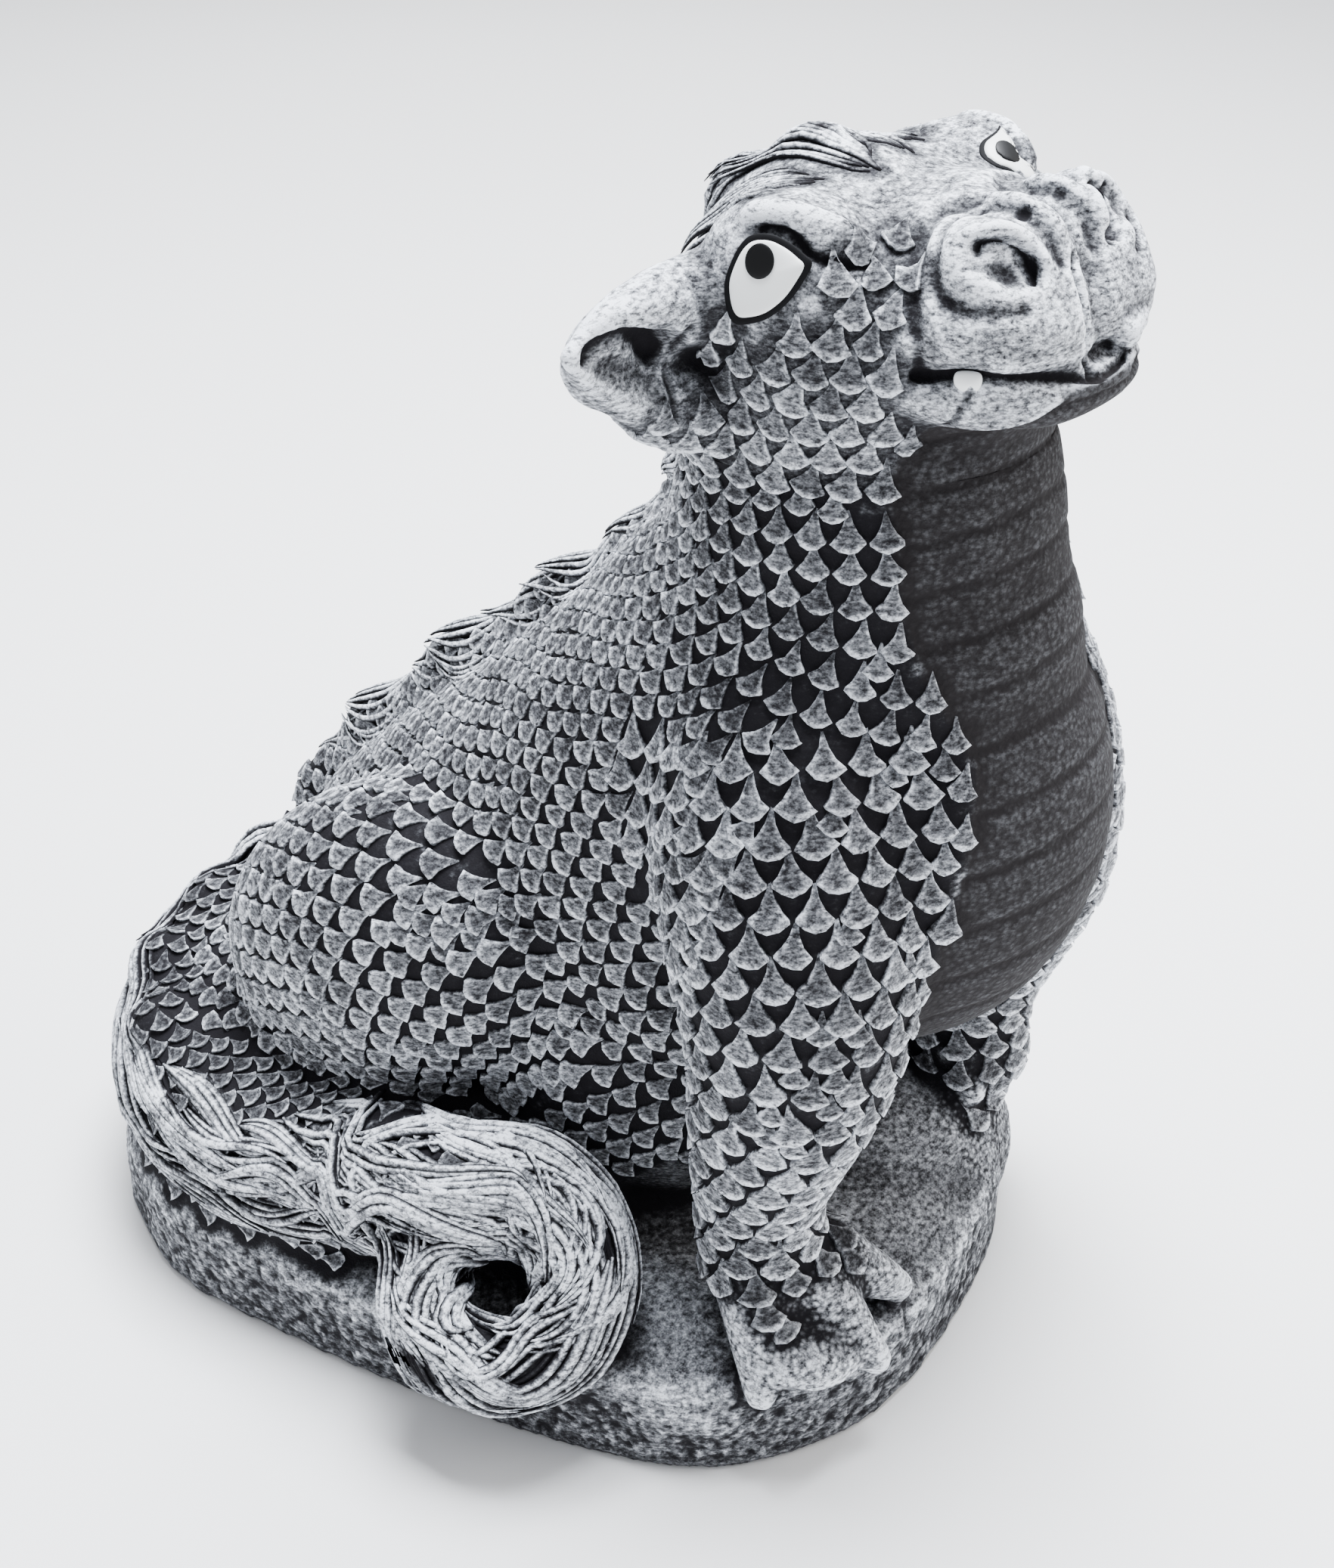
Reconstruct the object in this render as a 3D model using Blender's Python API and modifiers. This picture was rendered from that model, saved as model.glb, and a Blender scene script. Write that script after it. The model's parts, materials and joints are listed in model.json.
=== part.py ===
"""Seated garden dragon of cast stone, moulded in one piece with the rock it sits on.

The figure faces -Y, +Z is up, and the origin is under the middle of the rock.
Run it with: blender --background --python part.py
"""

import math

import bmesh
import bpy
import numpy as np
from mathutils import Matrix, Vector

# Driving dimensions, in metres.
FIGURE_HEIGHT = 0.366  # from the top of the rock to the top of the brows
ROCK_THICKNESS = 0.034
GROUND_WASTE = 0.012  # clay left under the rock, where the flat underside is cut
ROCK_MARGIN = 0.0  # how much further the rock reaches all round than it is drawn

# The figure is drawn in millimetres at this size, and scaled to FIGURE_HEIGHT.
DRAWN_HEIGHT = 366.0
DRAWN_ROCK = 34.0
UNIT = FIGURE_HEIGHT / DRAWN_HEIGHT

# How finely the clay is worked, and how many triangles the finished solid keeps.
BODY_VOXEL = 3.0 * UNIT
DETAIL_VOXEL = 1.7 * UNIT
TRIANGLES = 9900

STONE_GREY = (0.105, 0.108, 0.118, 1.0)


def clear_scene():
    for obj in list(bpy.data.objects):
        bpy.data.objects.remove(obj, do_unlink=True)


def place(x, y, z):
    """A drawn point, in millimetres above the ground, as a real place on top of the rock."""
    return Vector((x * UNIT, y * UNIT, (z - DRAWN_ROCK) * UNIT + ROCK_THICKNESS))


def smooth_points(points, steps):
    """Points of any number of values on a Catmull-Rom curve through the given ones."""
    points = np.array(points, float)
    ends = np.vstack([2 * points[0] - points[1], points, 2 * points[-1] - points[-2]])
    found = []
    for i in range(1, len(ends) - 2):
        before, start, end, after = ends[i - 1 : i + 3]
        for t in np.linspace(0, 1, steps, endpoint=False):
            found.append(
                0.5
                * (
                    2 * start
                    + (end - before) * t
                    + (2 * before - 5 * start + 4 * end - after) * t**2
                    + (3 * start - before - 3 * end + after) * t**3
                )
            )
    found.append(points[-1])
    return np.array(found)


def object_from(name, bm):
    mesh = bpy.data.meshes.new(name)
    bm.to_mesh(mesh)
    bm.free()
    obj = bpy.data.objects.new(name, mesh)
    bpy.context.scene.collection.objects.link(obj)
    return obj


def points_of(mesh):
    points = np.empty(len(mesh.vertices) * 3, np.float32)
    mesh.vertices.foreach_get("co", points)
    return points.reshape(-1, 3).astype(float)


def set_points(mesh, points):
    mesh.vertices.foreach_set("co", points.astype(np.float32).ravel())
    mesh.update()


def normals_of(mesh):
    normals = np.empty(len(mesh.vertices) * 3, np.float32)
    mesh.vertex_normals.foreach_get("vector", normals)
    return normals.reshape(-1, 3).astype(float)


class Clay:
    """A lump that pellets and rolls of clay are pressed onto, before it is worked smooth."""

    def __init__(self):
        self.bm = bmesh.new()

    def ball(self, centre, radii, turn=(0, 0, 0)):
        """An ellipsoid, turned about its centre by turn in degrees about X, Y and Z."""
        rotation = Matrix.Identity(4)
        for angle, axis in zip(turn, "XYZ"):
            rotation = Matrix.Rotation(math.radians(angle), 4, axis) @ rotation
        scale = Matrix.Diagonal((*(r * UNIT for r in radii), 1))
        matrix = Matrix.Translation(place(*centre)) @ rotation @ scale
        pellet = bmesh.new()
        bmesh.ops.create_uvsphere(
            pellet, u_segments=28, v_segments=18, radius=1, matrix=matrix
        )
        self.press(object_from("pellet", pellet))

    def pair_of_balls(self, centre, radii, turn=(0, 0, 0)):
        """One ellipsoid at the dragon's right, at negative x, and its mirror image."""
        for side in (1, -1):
            self.ball(
                (side * centre[0], *centre[1:]),
                radii,
                (turn[0], side * turn[1], side * turn[2]),
            )

    def roll(self, points, steps=6):
        """A round roll through (x, y, z, radius) points, with a ball at each end."""
        path = smooth_points(points, steps)
        curve = bpy.data.curves.new("roll", "CURVE")
        curve.dimensions = "3D"
        curve.bevel_depth = 1
        curve.bevel_resolution = 6
        curve.use_fill_caps = True
        spline = curve.splines.new("POLY")
        spline.points.add(len(path) - 1)
        for knot, (x, y, z, radius) in zip(spline.points, path):
            knot.co = (*place(x, y, z), 1)
            knot.radius = max(radius, 0.5) * UNIT
        holder = bpy.data.objects.new("roll", curve)
        bpy.context.scene.collection.objects.link(holder)
        graph = bpy.context.evaluated_depsgraph_get()
        mesh = bpy.data.meshes.new_from_object(holder.evaluated_get(graph))
        bpy.data.objects.remove(holder)
        self.bm.from_mesh(mesh)
        bpy.data.meshes.remove(mesh)
        for x, y, z, radius in (path[0], path[-1]):
            self.ball((x, y, z), (radius, radius, radius))

    def pair_of_rolls(self, points, steps=6):
        for side in (1, -1):
            self.roll([(side * x, y, z, radius) for x, y, z, radius in points], steps)

    def press(self, obj):
        self.bm.from_mesh(obj.data)
        mesh = obj.data
        bpy.data.objects.remove(obj)
        bpy.data.meshes.remove(mesh)

    def worked(self, name, voxel, passes, factor=0.5):
        """All of it as one skin, smoothed as a damp sponge would."""
        rough = object_from(name, self.bm)
        remesh = rough.modifiers.new("one skin", "REMESH")
        remesh.mode = "VOXEL"
        remesh.voxel_size = voxel
        sponge = rough.modifiers.new("sponge", "SMOOTH")
        sponge.factor = factor
        sponge.iterations = passes
        graph = bpy.context.evaluated_depsgraph_get()
        mesh = bpy.data.meshes.new_from_object(rough.evaluated_get(graph))
        bpy.data.objects.remove(rough)
        obj = bpy.data.objects.new(name, mesh)
        bpy.context.scene.collection.objects.link(obj)
        return obj


def trunk(clay):
    """The neck, back and rump as one roll, with the chest and the low belly on it."""
    clay.roll(
        [
            (0, -62, 345, 46),
            (0, -71, 308, 54),
            (0, -71, 272, 59),
            (0, -54, 230, 67),
            (0, -12, 172, 75),
            (0, 45, 116, 79),
            (0, 100, 80, 68),
            (0, 138, 62, 48),
        ]
    )
    clay.ball((0, -79, 200), (70, 73, 84))
    clay.ball((0, -73, 252), (61, 65, 62))
    clay.ball((0, 2, 96), (79, 82, 78))
    clay.ball((0, -30, 140), (72, 60, 62))
    clay.ball((0, 78, 66), (88, 74, 50))


def haunches(clay):
    clay.pair_of_balls((-68, 58, 122), (40, 74, 54), (-32, 0, 4))


def forelegs(clay):
    clay.pair_of_rolls(
        [
            (-34, -72, 266, 24),
            (-46, -78, 226, 38),
            (-58, -90, 186, 38),
            (-66, -96, 148, 31),
            (-68, -90, 114, 24),
            (-66, -85, 86, 19),
            (-65, -86, 62, 20),
        ]
    )


def head(clay):
    """Skull, brows, cheeks, muzzle and chin."""
    clay.ball((0, -60, 344), (55, 42, 40))
    clay.ball((0, -98, 358), (45, 44, 30))
    clay.ball((0, -110, 345), (42, 38, 16))
    clay.pair_of_balls((-36, -76, 346), (22, 30, 30))
    clay.pair_of_balls((-33, -64, 326), (22, 32, 28))
    clay.pair_of_balls((-43, -70, 369), (19, 25, 21), (0, 25, 0))
    clay.pair_of_balls((-22, -66, 375), (24, 24, 12))
    clay.roll([(0, -50, 361, 20), (0, -85, 364, 19), (0, -112, 370, 15)])
    clay.pair_of_balls((-25, -114, 366), (20, 21, 22))
    clay.pair_of_balls((-22, -121, 356), (23, 17, 13))


def muzzle(clay):
    """The bulbs round the nostrils, the ridge between them and the two lips."""
    clay.pair_of_balls((-25, -118, 373), (15, 14, 15))
    clay.pair_of_rolls([(-8, -90, 372, 7), (-9, -102, 377, 7), (-10, -113, 384, 7), (-9, -123, 381, 7)])
    clay.pair_of_rolls(
        [(-5, -127, 360, 9), (-21, -131, 360, 10), (-37, -119, 360, 9), (-43, -106, 358, 6)]
    )
    clay.pair_of_rolls(
        [(0, -136, 344, 9), (-20, -132, 343, 9), (-37, -115, 345, 8), (-44, -101, 349, 6)]
    )


def ears(clay):
    """A flat leaf to each side, thick along its upper edge."""
    clay.pair_of_rolls(
        [(-50, -50, 360, 13), (-68, -49, 363, 10), (-87, -49, 363, 7), (-104, -49, 360, 3)]
    )
    clay.pair_of_rolls(
        [(-50, -50, 331, 13), (-66, -47, 335, 9), (-84, -47, 345, 6), (-103, -49, 359, 3)]
    )
    clay.pair_of_balls((-70, -43, 351), (30, 7, 16), (0, 8, 0))


def tail(clay):
    clay.roll(
        [
            (0, 128, 66, 42),
            (-36, 156, 60, 33),
            (-72, 157, 56, 28),
            (-100, 134, 54, 27),
            (-114, 104, 53, 27),
            (-115, 70, 54, 27),
            (-112, 38, 62, 25),
            *curl_points(),
        ]
    )
    clay.roll([(-60, 140, 62, 30), (-88, 110, 60, 28), (-92, 70, 56, 26), (-88, 30, 54, 25), (-78, -6, 50, 24)])


CURL_CENTRE = np.array((-120.0, -25.0, 57.0))
CURL_AXIS = np.array((-0.62, -0.35, 0.70))


def curl_points():
    """The curled end of the tail, leaning back on the rock: (turn from its top, reach, radius)."""
    axis = CURL_AXIS / np.linalg.norm(CURL_AXIS)
    up = np.array((0, 0, 1)) - axis[2] * axis
    up /= np.linalg.norm(up)
    across = np.cross(up, axis)
    turns = [
        (-30, 30, 21),
        (10, 28, 18),
        (50, 27, 16),
        (90, 27, 15),
        (130, 27, 14),
        (170, 27, 14),
        (210, 27, 14),
        (250, 26, 13),
        (290, 23, 11),
        (325, 18, 8),
        (352, 11, 4),
    ]
    found = []
    for turn, reach, radius in turns:
        angle = math.radians(turn)
        spot = CURL_CENTRE + reach * (math.cos(angle) * up + math.sin(angle) * across)
        found.append((*spot, radius))
    return found


ROCK_OUTLINE = [
    (-128, 148), (-145, 105), (-142, 55), (-135, 5), (-122, -50), (-103, -92), (-70, -117),
    (-33, -125), (15, -120), (50, -110), (84, -86), (104, -45), (114, 20), (112, 90),
    (90, 150), (40, 182), (-30, 188), (-92, 174),
]


def rock():
    """The low rock: a flat outline that reaches a little below the ground, where it is cut."""
    curve = bpy.data.curves.new("rock", "CURVE")
    curve.dimensions = "2D"
    curve.fill_mode = "BOTH"
    curve.extrude = (ROCK_THICKNESS + GROUND_WASTE) / 2
    spline = curve.splines.new("POLY")
    points = smooth_points([*ROCK_OUTLINE, ROCK_OUTLINE[0]], 5)[:-1]
    spline.points.add(len(points) - 1)
    for knot, (x, y) in zip(spline.points, points):
        reach = math.hypot(x, y) * UNIT
        share = (reach + ROCK_MARGIN) / reach
        knot.co = (x * UNIT * share, y * UNIT * share, (ROCK_THICKNESS - GROUND_WASTE) / 2, 1)
    spline.use_cyclic_u = True
    holder = bpy.data.objects.new("rock", curve)
    bpy.context.scene.collection.objects.link(holder)
    graph = bpy.context.evaluated_depsgraph_get()
    mesh = bpy.data.meshes.new_from_object(holder.evaluated_get(graph))
    bpy.data.objects.remove(holder)
    bm = bmesh.new()
    bm.from_mesh(mesh)
    bmesh.ops.remove_doubles(bm, verts=bm.verts, dist=1e-6)
    bpy.data.meshes.remove(mesh)
    return object_from("rock", bm)


def boulders(clay):
    """The rock humps up under the belly and under the left forefoot."""
    clay.ball((38, -68, 24), (55, 44, 37))
    clay.ball((-4, -84, 22), (56, 38, 24))
    clay.ball((-78, -56, 22), (40, 52, 18))
    clay.ball((0, 40, 26), (104, 116, 26))


# The tips of the three toes of each forefoot.
RIGHT_TOES = [(-94, -107, 36), (-61, -128, 37), (-34, -119, 42)]
LEFT_TOES = [(82, -74, 56), (66, -94, 57), (46, -98, 58)]


def paws(clay):
    """Three webbed toes to each forefoot."""
    for side, toes in ((-1, RIGHT_TOES), (1, LEFT_TOES)):
        ankle = np.array((-64, -84, 60) if side < 0 else (64, -76, 70))
        for tip in toes:
            tip = np.array(tip)
            middle = ankle * 0.5 + tip * 0.5 + (0, 0, 4)
            clay.roll([(*ankle, 18), (*middle, 13), (*tip, 6)])
        web = (np.array(toes[0]) + toes[1] + ankle) / 3
        clay.ball(web, (22, 22, 9), (12, 0, side * -20))


# The humps of the mane's locks, from the nape to the tail, and how steeply the back falls there.
LOCKS = [
    (0, -4, 288, 64), (0, 24, 250, 54), (0, 56, 227, 44), (0, 99, 192, 42), (0, 143, 150, 46),
    (-3, 170, 114, 56),
]
# How far a lock's middle lies down the slope and out from its hump, and its radius.
LOCK_PROFILE = [(-34, -17, 9), (-18, -13, 11), (-2, -11, 11), (9, -14, 8)]


def mane(clay):
    """A crest of locks along the back, each one a hump that leans backwards."""
    for x, y, z, slope in LOCKS:
        down = np.array((0, math.cos(math.radians(slope)), -math.sin(math.radians(slope))))
        out = np.array((0, -down[2], down[1]))
        hump = np.array((x, y, z))
        clay.roll([(*(hump + a * down + b * out), radius) for a, b, radius in LOCK_PROFILE])
    clay.roll([(x, y - 12, z - 14, 14) for x, y, z, _ in LOCKS])
    clay.roll(
        [
            (0, 156, 92, 13),
            (-28, 166, 78, 13),
            (-58, 168, 70, 12),
            (-88, 156, 68, 12),
            (-110, 130, 66, 11),
            (-122, 98, 62, 11),
            (-126, 66, 60, 10),
            (-124, 34, 60, 9),
        ]
    )
    for x, y, z in ((-22, 168, 86), (-50, 171, 79), (-82, 162, 75), (-106, 138, 73)):
        clay.ball((x, y, z), (15, 13, 10))


def curls(clay):
    """Two curled tufts on the crown, and the hair behind the head."""
    clay.ball((0, -51, 382), (12, 12, 11))
    clay.ball((0, -30, 369), (13, 13, 12), (-40, 0, 0))
    clay.roll([(0, -28, 356, 10), (0, -24, 332, 10), (0, -24, 304, 11), (0, -16, 284, 11)])


# What a modelling tool draws on the head, at the dragon's right: each line with its width, and
# how deep it is pressed in. A negative depth raises the clay instead.
EYE = [
    (-58, -69, 379), (-57, -73, 381), (-56, -79, 380), (-56, -84, 375), (-58, -83, 371),
    (-61, -78, 365), (-61, -70, 362), (-61, -65, 365), (-61, -65, 371), (-60, -66, 375),
]
RIGHT_LINES = [
    ([*EYE, EYE[0]], 4.5, 2.0),
    ([(-57, -70, 383), (-55, -79, 382), (-53, -86, 380), (-47, -92, 378)], 5, 2.2),
    ([(-52, -66, 388), (-50, -78, 387), (-46, -88, 385)], 7, -2.2),
    ([(-31, -97, 380), (-37, -102, 377), (-42, -110, 375), (-42, -118, 369)], 7, 3),
    ([(-15, -104, 384), (-17, -113, 387), (-19, -121, 386), (-19, -128, 380)], 6, 2.5),
    ([(-46, -110, 354), (-44, -116, 351), (-42, -124, 353), (-34, -132, 353), (-18, -138, 351), (0, -136, 351)], 5, 5),
    ([(-96, -56, 359), (-84, -57, 356), (-74, -54, 351)], 10, 4),
    ([(-31, -127, 381), (-30, -128, 378)], 9, 8),
]
MIDDLE_LINES = [
    ([(0, -104, 384), (0, -116, 386), (0, -126, 377), (0, -131, 370)], 6, 2.5),
    ([(-2, -130, 371), (-6, -136, 362), (-6, -138, 352)], 5, 4.5),
]


def drawn(points):
    """Real places as drawn points, in millimetres."""
    points = points.copy()
    points[:, 2] -= ROCK_THICKNESS
    points /= UNIT
    points[:, 2] += DRAWN_ROCK
    return points


def draw_line(mesh, line, width, depth):
    """Presses a rounded groove along the line into the skin nearest to it."""
    points, normals = drawn(points_of(mesh)), normals_of(mesh)
    line = smooth_points(line, 8)
    near = np.linalg.norm(points - line.mean(0), axis=1)
    near = np.flatnonzero(near < np.linalg.norm(line - line.mean(0), axis=1).max() + 14)
    gaps = np.linalg.norm(points[near, None] - line[None], axis=2)
    line = points[near][gaps.argmin(0)]
    gaps = np.linalg.norm(points[near, None] - line[None], axis=2).min(1)
    press = depth * UNIT * (1 - np.clip(gaps / width, 0, 1) ** 2) ** 2
    moved = points_of(mesh)
    moved[near] -= normals[near] * press[:, None]
    set_points(mesh, moved)


def draw_face(mesh):
    for line, width, depth in RIGHT_LINES:
        for side in (1, -1):
            draw_line(mesh, [(side * x, y, z) for x, y, z in line], width, depth)
    for line, width, depth in MIDDLE_LINES:
        draw_line(mesh, line, width, depth)


def finish(obj):
    """Thins the skin to TRIANGLES, cuts the underside flat and puts the origin under it."""
    thin = obj.modifiers.new("thin", "DECIMATE")
    thin.ratio = TRIANGLES / (2 * len(obj.data.polygons))
    graph = bpy.context.evaluated_depsgraph_get()
    mesh = bpy.data.meshes.new_from_object(obj.evaluated_get(graph))
    bpy.data.objects.remove(obj)
    bm = bmesh.new()
    bm.from_mesh(mesh)
    bpy.data.meshes.remove(mesh)
    whole = bm.verts[:] + bm.edges[:] + bm.faces[:]
    cut = bmesh.ops.bisect_plane(
        bm, geom=whole, plane_co=(0, 0, 0), plane_no=(0, 0, -1), clear_outer=True
    )
    rim = [edge for edge in cut["geom_cut"] if isinstance(edge, bmesh.types.BMEdge)]
    bmesh.ops.holes_fill(bm, edges=rim)
    bmesh.ops.triangulate(bm, faces=bm.faces)
    bmesh.ops.remove_doubles(bm, verts=bm.verts, dist=1e-5)
    sides = np.array([vert.co for vert in bm.verts])
    middle = (sides.min(0) + sides.max(0)) / 2
    bmesh.ops.translate(bm, verts=bm.verts, vec=(-middle[0], -middle[1], 0))
    bmesh.ops.recalc_face_normals(bm, faces=bm.faces)
    print("the drawing's origin lies at", (-middle[:2]).round(5))
    return object_from("dragon", bm)


def cast_stone():
    material = bpy.data.materials.new("cast_stone")
    material.use_nodes = True
    surface = material.node_tree.nodes["Principled BSDF"]
    surface.inputs["Base Color"].default_value = STONE_GREY
    surface.inputs["Roughness"].default_value = 0.85
    material.diffuse_color = STONE_GREY
    return material


clear_scene()
body = Clay()
trunk(body)
haunches(body)
forelegs(body)
head(body)
tail(body)
body.press(rock())
boulders(body)
rough = body.worked("rough", BODY_VOXEL, 18)

figure = Clay()
figure.press(rough)
muzzle(figure)
paws(figure)
ears(figure)
mane(figure)
curls(figure)
figure = figure.worked("figure", DETAIL_VOXEL, 4)
draw_face(figure.data)

dragon = finish(figure)
dragon.data.materials.append(cast_stone())
statue = bpy.data.collections.new("dragon_statue")
bpy.context.scene.collection.children.link(statue)
statue.objects.link(dragon)
bpy.context.scene.collection.objects.unlink(dragon)
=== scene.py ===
# %% [markdown]
# # A seated garden dragon of cast stone
#
# The real thing is one casting of fine grey concrete. Its mould holds every scale and every lock of
# hair. After casting it is stained dark, and a nearly dry brush with pale paint is dragged over it,
# so that the high places are light and the hollows stay dark. Only the eyes and teeth are painted.
#
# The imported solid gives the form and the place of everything. Here it gets its skin.

# %% Load the frame
import json
import math

import bmesh
import bpy
import numpy as np
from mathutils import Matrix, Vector, noise
from mathutils.bvhtree import BVHTree
from mathutils.kdtree import KDTree

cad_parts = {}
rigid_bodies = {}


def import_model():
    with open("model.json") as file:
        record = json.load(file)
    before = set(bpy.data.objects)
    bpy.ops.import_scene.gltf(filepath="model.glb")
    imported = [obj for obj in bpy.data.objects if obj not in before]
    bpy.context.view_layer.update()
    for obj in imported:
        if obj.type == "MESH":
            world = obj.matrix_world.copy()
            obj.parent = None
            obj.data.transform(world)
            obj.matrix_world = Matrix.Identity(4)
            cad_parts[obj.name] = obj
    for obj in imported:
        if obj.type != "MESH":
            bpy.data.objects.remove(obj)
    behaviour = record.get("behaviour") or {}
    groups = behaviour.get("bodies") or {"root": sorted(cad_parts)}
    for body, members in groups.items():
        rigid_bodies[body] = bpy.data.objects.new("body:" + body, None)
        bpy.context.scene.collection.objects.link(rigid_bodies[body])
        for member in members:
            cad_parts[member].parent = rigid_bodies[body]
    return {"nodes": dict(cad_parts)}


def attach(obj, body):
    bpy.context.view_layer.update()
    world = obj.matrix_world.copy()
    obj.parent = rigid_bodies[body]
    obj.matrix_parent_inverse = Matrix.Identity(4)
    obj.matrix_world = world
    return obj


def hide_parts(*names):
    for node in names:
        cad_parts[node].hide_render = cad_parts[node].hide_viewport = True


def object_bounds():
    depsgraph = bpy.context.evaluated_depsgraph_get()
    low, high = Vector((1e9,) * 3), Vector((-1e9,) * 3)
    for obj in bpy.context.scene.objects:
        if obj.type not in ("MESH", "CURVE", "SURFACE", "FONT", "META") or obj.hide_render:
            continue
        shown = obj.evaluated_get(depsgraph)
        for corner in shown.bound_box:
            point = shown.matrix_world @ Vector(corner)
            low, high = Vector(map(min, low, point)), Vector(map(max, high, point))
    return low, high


for leftover in list(bpy.data.objects):
    bpy.data.objects.remove(leftover, do_unlink=True)
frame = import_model()
cad_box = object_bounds()
casting = frame["nodes"]["dragon"]

# %% [markdown]
# ## Drawn places
#
# The figure was drawn in millimetres about a point under the chest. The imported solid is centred
# under its box instead, so a drawn point is moved by the same amount each time.

# %% Drawn millimetres to metres
MM = 0.001
DRAWING_SHIFT = np.array((19.31, -18.80, 0.0))


def real(points):
    """Drawn millimetres as places in metres, for one point or many."""
    return (np.asarray(points, float) + DRAWING_SHIFT) * MM


def drawn(points):
    """Places in metres as drawn millimetres."""
    return np.asarray(points, float) / MM - DRAWING_SHIFT


def smooth_line(points, steps=6, closed=False):
    """Points on a soft curve through the given ones."""
    points = np.array(points, float)
    if closed:
        ends = np.vstack([points[-1], points, points[0], points[1]])
    else:
        ends = np.vstack([2 * points[0] - points[1], points, 2 * points[-1] - points[-2]])
    found = []
    for before, start, end, after in zip(ends, ends[1:], ends[2:], ends[3:]):
        for t in np.linspace(0, 1, steps, endpoint=False):
            bend = (2 * before - 5 * start + 4 * end - after) * t**2
            twist = (3 * start - before - 3 * end + after) * t**3
            found.append(0.5 * (2 * start + (end - before) * t + bend + twist))
    if not closed:
        found.append(points[-1])
    return np.array(found)


def unit(v):
    """The direction of a vector, or of each row of an array."""
    v = np.asarray(v, float)
    return v / np.maximum(np.linalg.norm(v, axis=-1, keepdims=True), 1e-12)


def between(value, low, high):
    """0 below low, 1 above high, and a soft step in the middle."""
    t = np.clip((value - low) / (high - low), 0, 1)
    return t * t * (3 - 2 * t)


print("the drawing's origin lies at", real((0, 0, 0)), "m")

# %% [markdown]
# ## The camera, the floor and the light
#
# The picture was taken from the dragon's right front, a little above it and from close by, so the
# head looks large and the rock small. The light is a bright, soft sky with no hard shadow.

# %% Camera
CAMERA_PLACE = real((-487.7, -367.4, 551.5))
LOOKED_AT = real((0, 0, 170))

camera = bpy.data.objects.new("camera", bpy.data.cameras.new("camera"))
camera.data.lens = 50.34
camera.data.sensor_width = 36
camera.location = CAMERA_PLACE
aim = Vector(LOOKED_AT) - Vector(CAMERA_PLACE)
camera.rotation_euler = aim.to_track_quat("-Z", "Y").to_euler()
bpy.context.scene.collection.objects.link(camera)
bpy.context.scene.camera = camera
print("the camera stands", round(aim.length, 3), "m from the middle of the figure")

# %% Colours and nodes


def linear(code):
    """An sRGB hex colour as the linear RGBA that a shader works in."""
    parts = [int(code[i : i + 2], 16) / 255 for i in (1, 3, 5)]
    return (*(c / 12.92 if c <= 0.04045 else ((c + 0.055) / 1.055) ** 2.4 for c in parts), 1.0)


def add(tree, kind, settings=None, links=None):
    """A node with its settings, and links into its inputs from sockets or from nodes' first outputs."""
    node = tree.nodes.new("ShaderNode" + kind)
    for key, value in (settings or {}).items():
        if isinstance(key, str) and hasattr(node, key):
            setattr(node, key, value)
        else:
            node.inputs[key].default_value = value
    for key, source in (links or {}).items():
        tree.links.new(getattr(source, "outputs", [source])[0], node.inputs[key])
    return node


def new_finish(name, hex_colour, roughness, **settings):
    """A material with its Principled shader set: (material, node tree, shader)."""
    material = bpy.data.materials.new(name)
    material.use_nodes = True
    tree = material.node_tree
    shader = tree.nodes["Principled BSDF"]
    shader.inputs["Base Color"].default_value = linear(hex_colour)
    shader.inputs["Roughness"].default_value = roughness
    for key, value in settings.items():
        shader.inputs[key.replace("_", " ")].default_value = value
    material.diffuse_color = linear(hex_colour)
    return material, tree, shader


print("middle grey #808080 is", round(linear("#808080")[0], 3), "in linear light")

# %% Floor and light


def new_object(name, bm):
    """A finished bmesh as an object of the scene."""
    mesh = bpy.data.meshes.new(name)
    bm.to_mesh(mesh)
    bm.free()
    obj = bpy.data.objects.new(name, mesh)
    bpy.context.scene.collection.objects.link(obj)
    return obj


paper, _, _ = new_finish("pale_paper", "#fafaf9", 0.9)
floor_bm = bmesh.new()
bmesh.ops.create_grid(floor_bm, x_segments=1, y_segments=1, size=6)
floor = new_object("floor", floor_bm)
floor.location.z = -0.0006
floor.data.materials.append(paper)

world = bpy.data.worlds.new("studio")
world.use_nodes = True
world.node_tree.nodes["Background"].inputs["Color"].default_value = linear("#f5f8ff")
world.node_tree.nodes["Background"].inputs["Strength"].default_value = 0.85
bpy.context.scene.world = world


def lamp(name, place, size, watts, colour, target=(0, 0, 0.2)):
    """A square soft box that faces the target."""
    light = bpy.data.lights.new(name, "AREA")
    light.size = size
    light.energy = watts
    light.color = linear(colour)[:3]
    obj = bpy.data.objects.new(name, light)
    obj.location = place
    obj.rotation_euler = (Vector(target) - Vector(place)).to_track_quat("-Z", "Y").to_euler()
    bpy.context.scene.collection.objects.link(obj)


lamp("sky_box", (0.28, 0.02, 1.75), 0.9, 125, "#f4f8ff")
lamp("front_box", (0.9, -1.1, 0.9), 1.2, 16, "#fffaf4")
lamp("back_box", (1.4, 1.2, 1.0), 1.2, 12, "#ffffff")

# %% [markdown]
# ## The skin
#
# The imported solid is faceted, to keep it light. A copy is welded, wrapped in a fine even skin with
# a voxel remesh, and worked with a smoothing brush, as a modeller works clay with a damp sponge.
# The head gets the finest skin, because it holds the eyes, the nostrils and the lips. The three
# skins meet in level cuts, whose hidden end faces are kept out of the shading.

# %% Cutting and smoothing


def keep_in_box(points):
    """Presses points that stand out of the casting's box back to its faces."""
    return np.clip(points, np.array(cad_box[0]), np.array(cad_box[1]))


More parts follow.
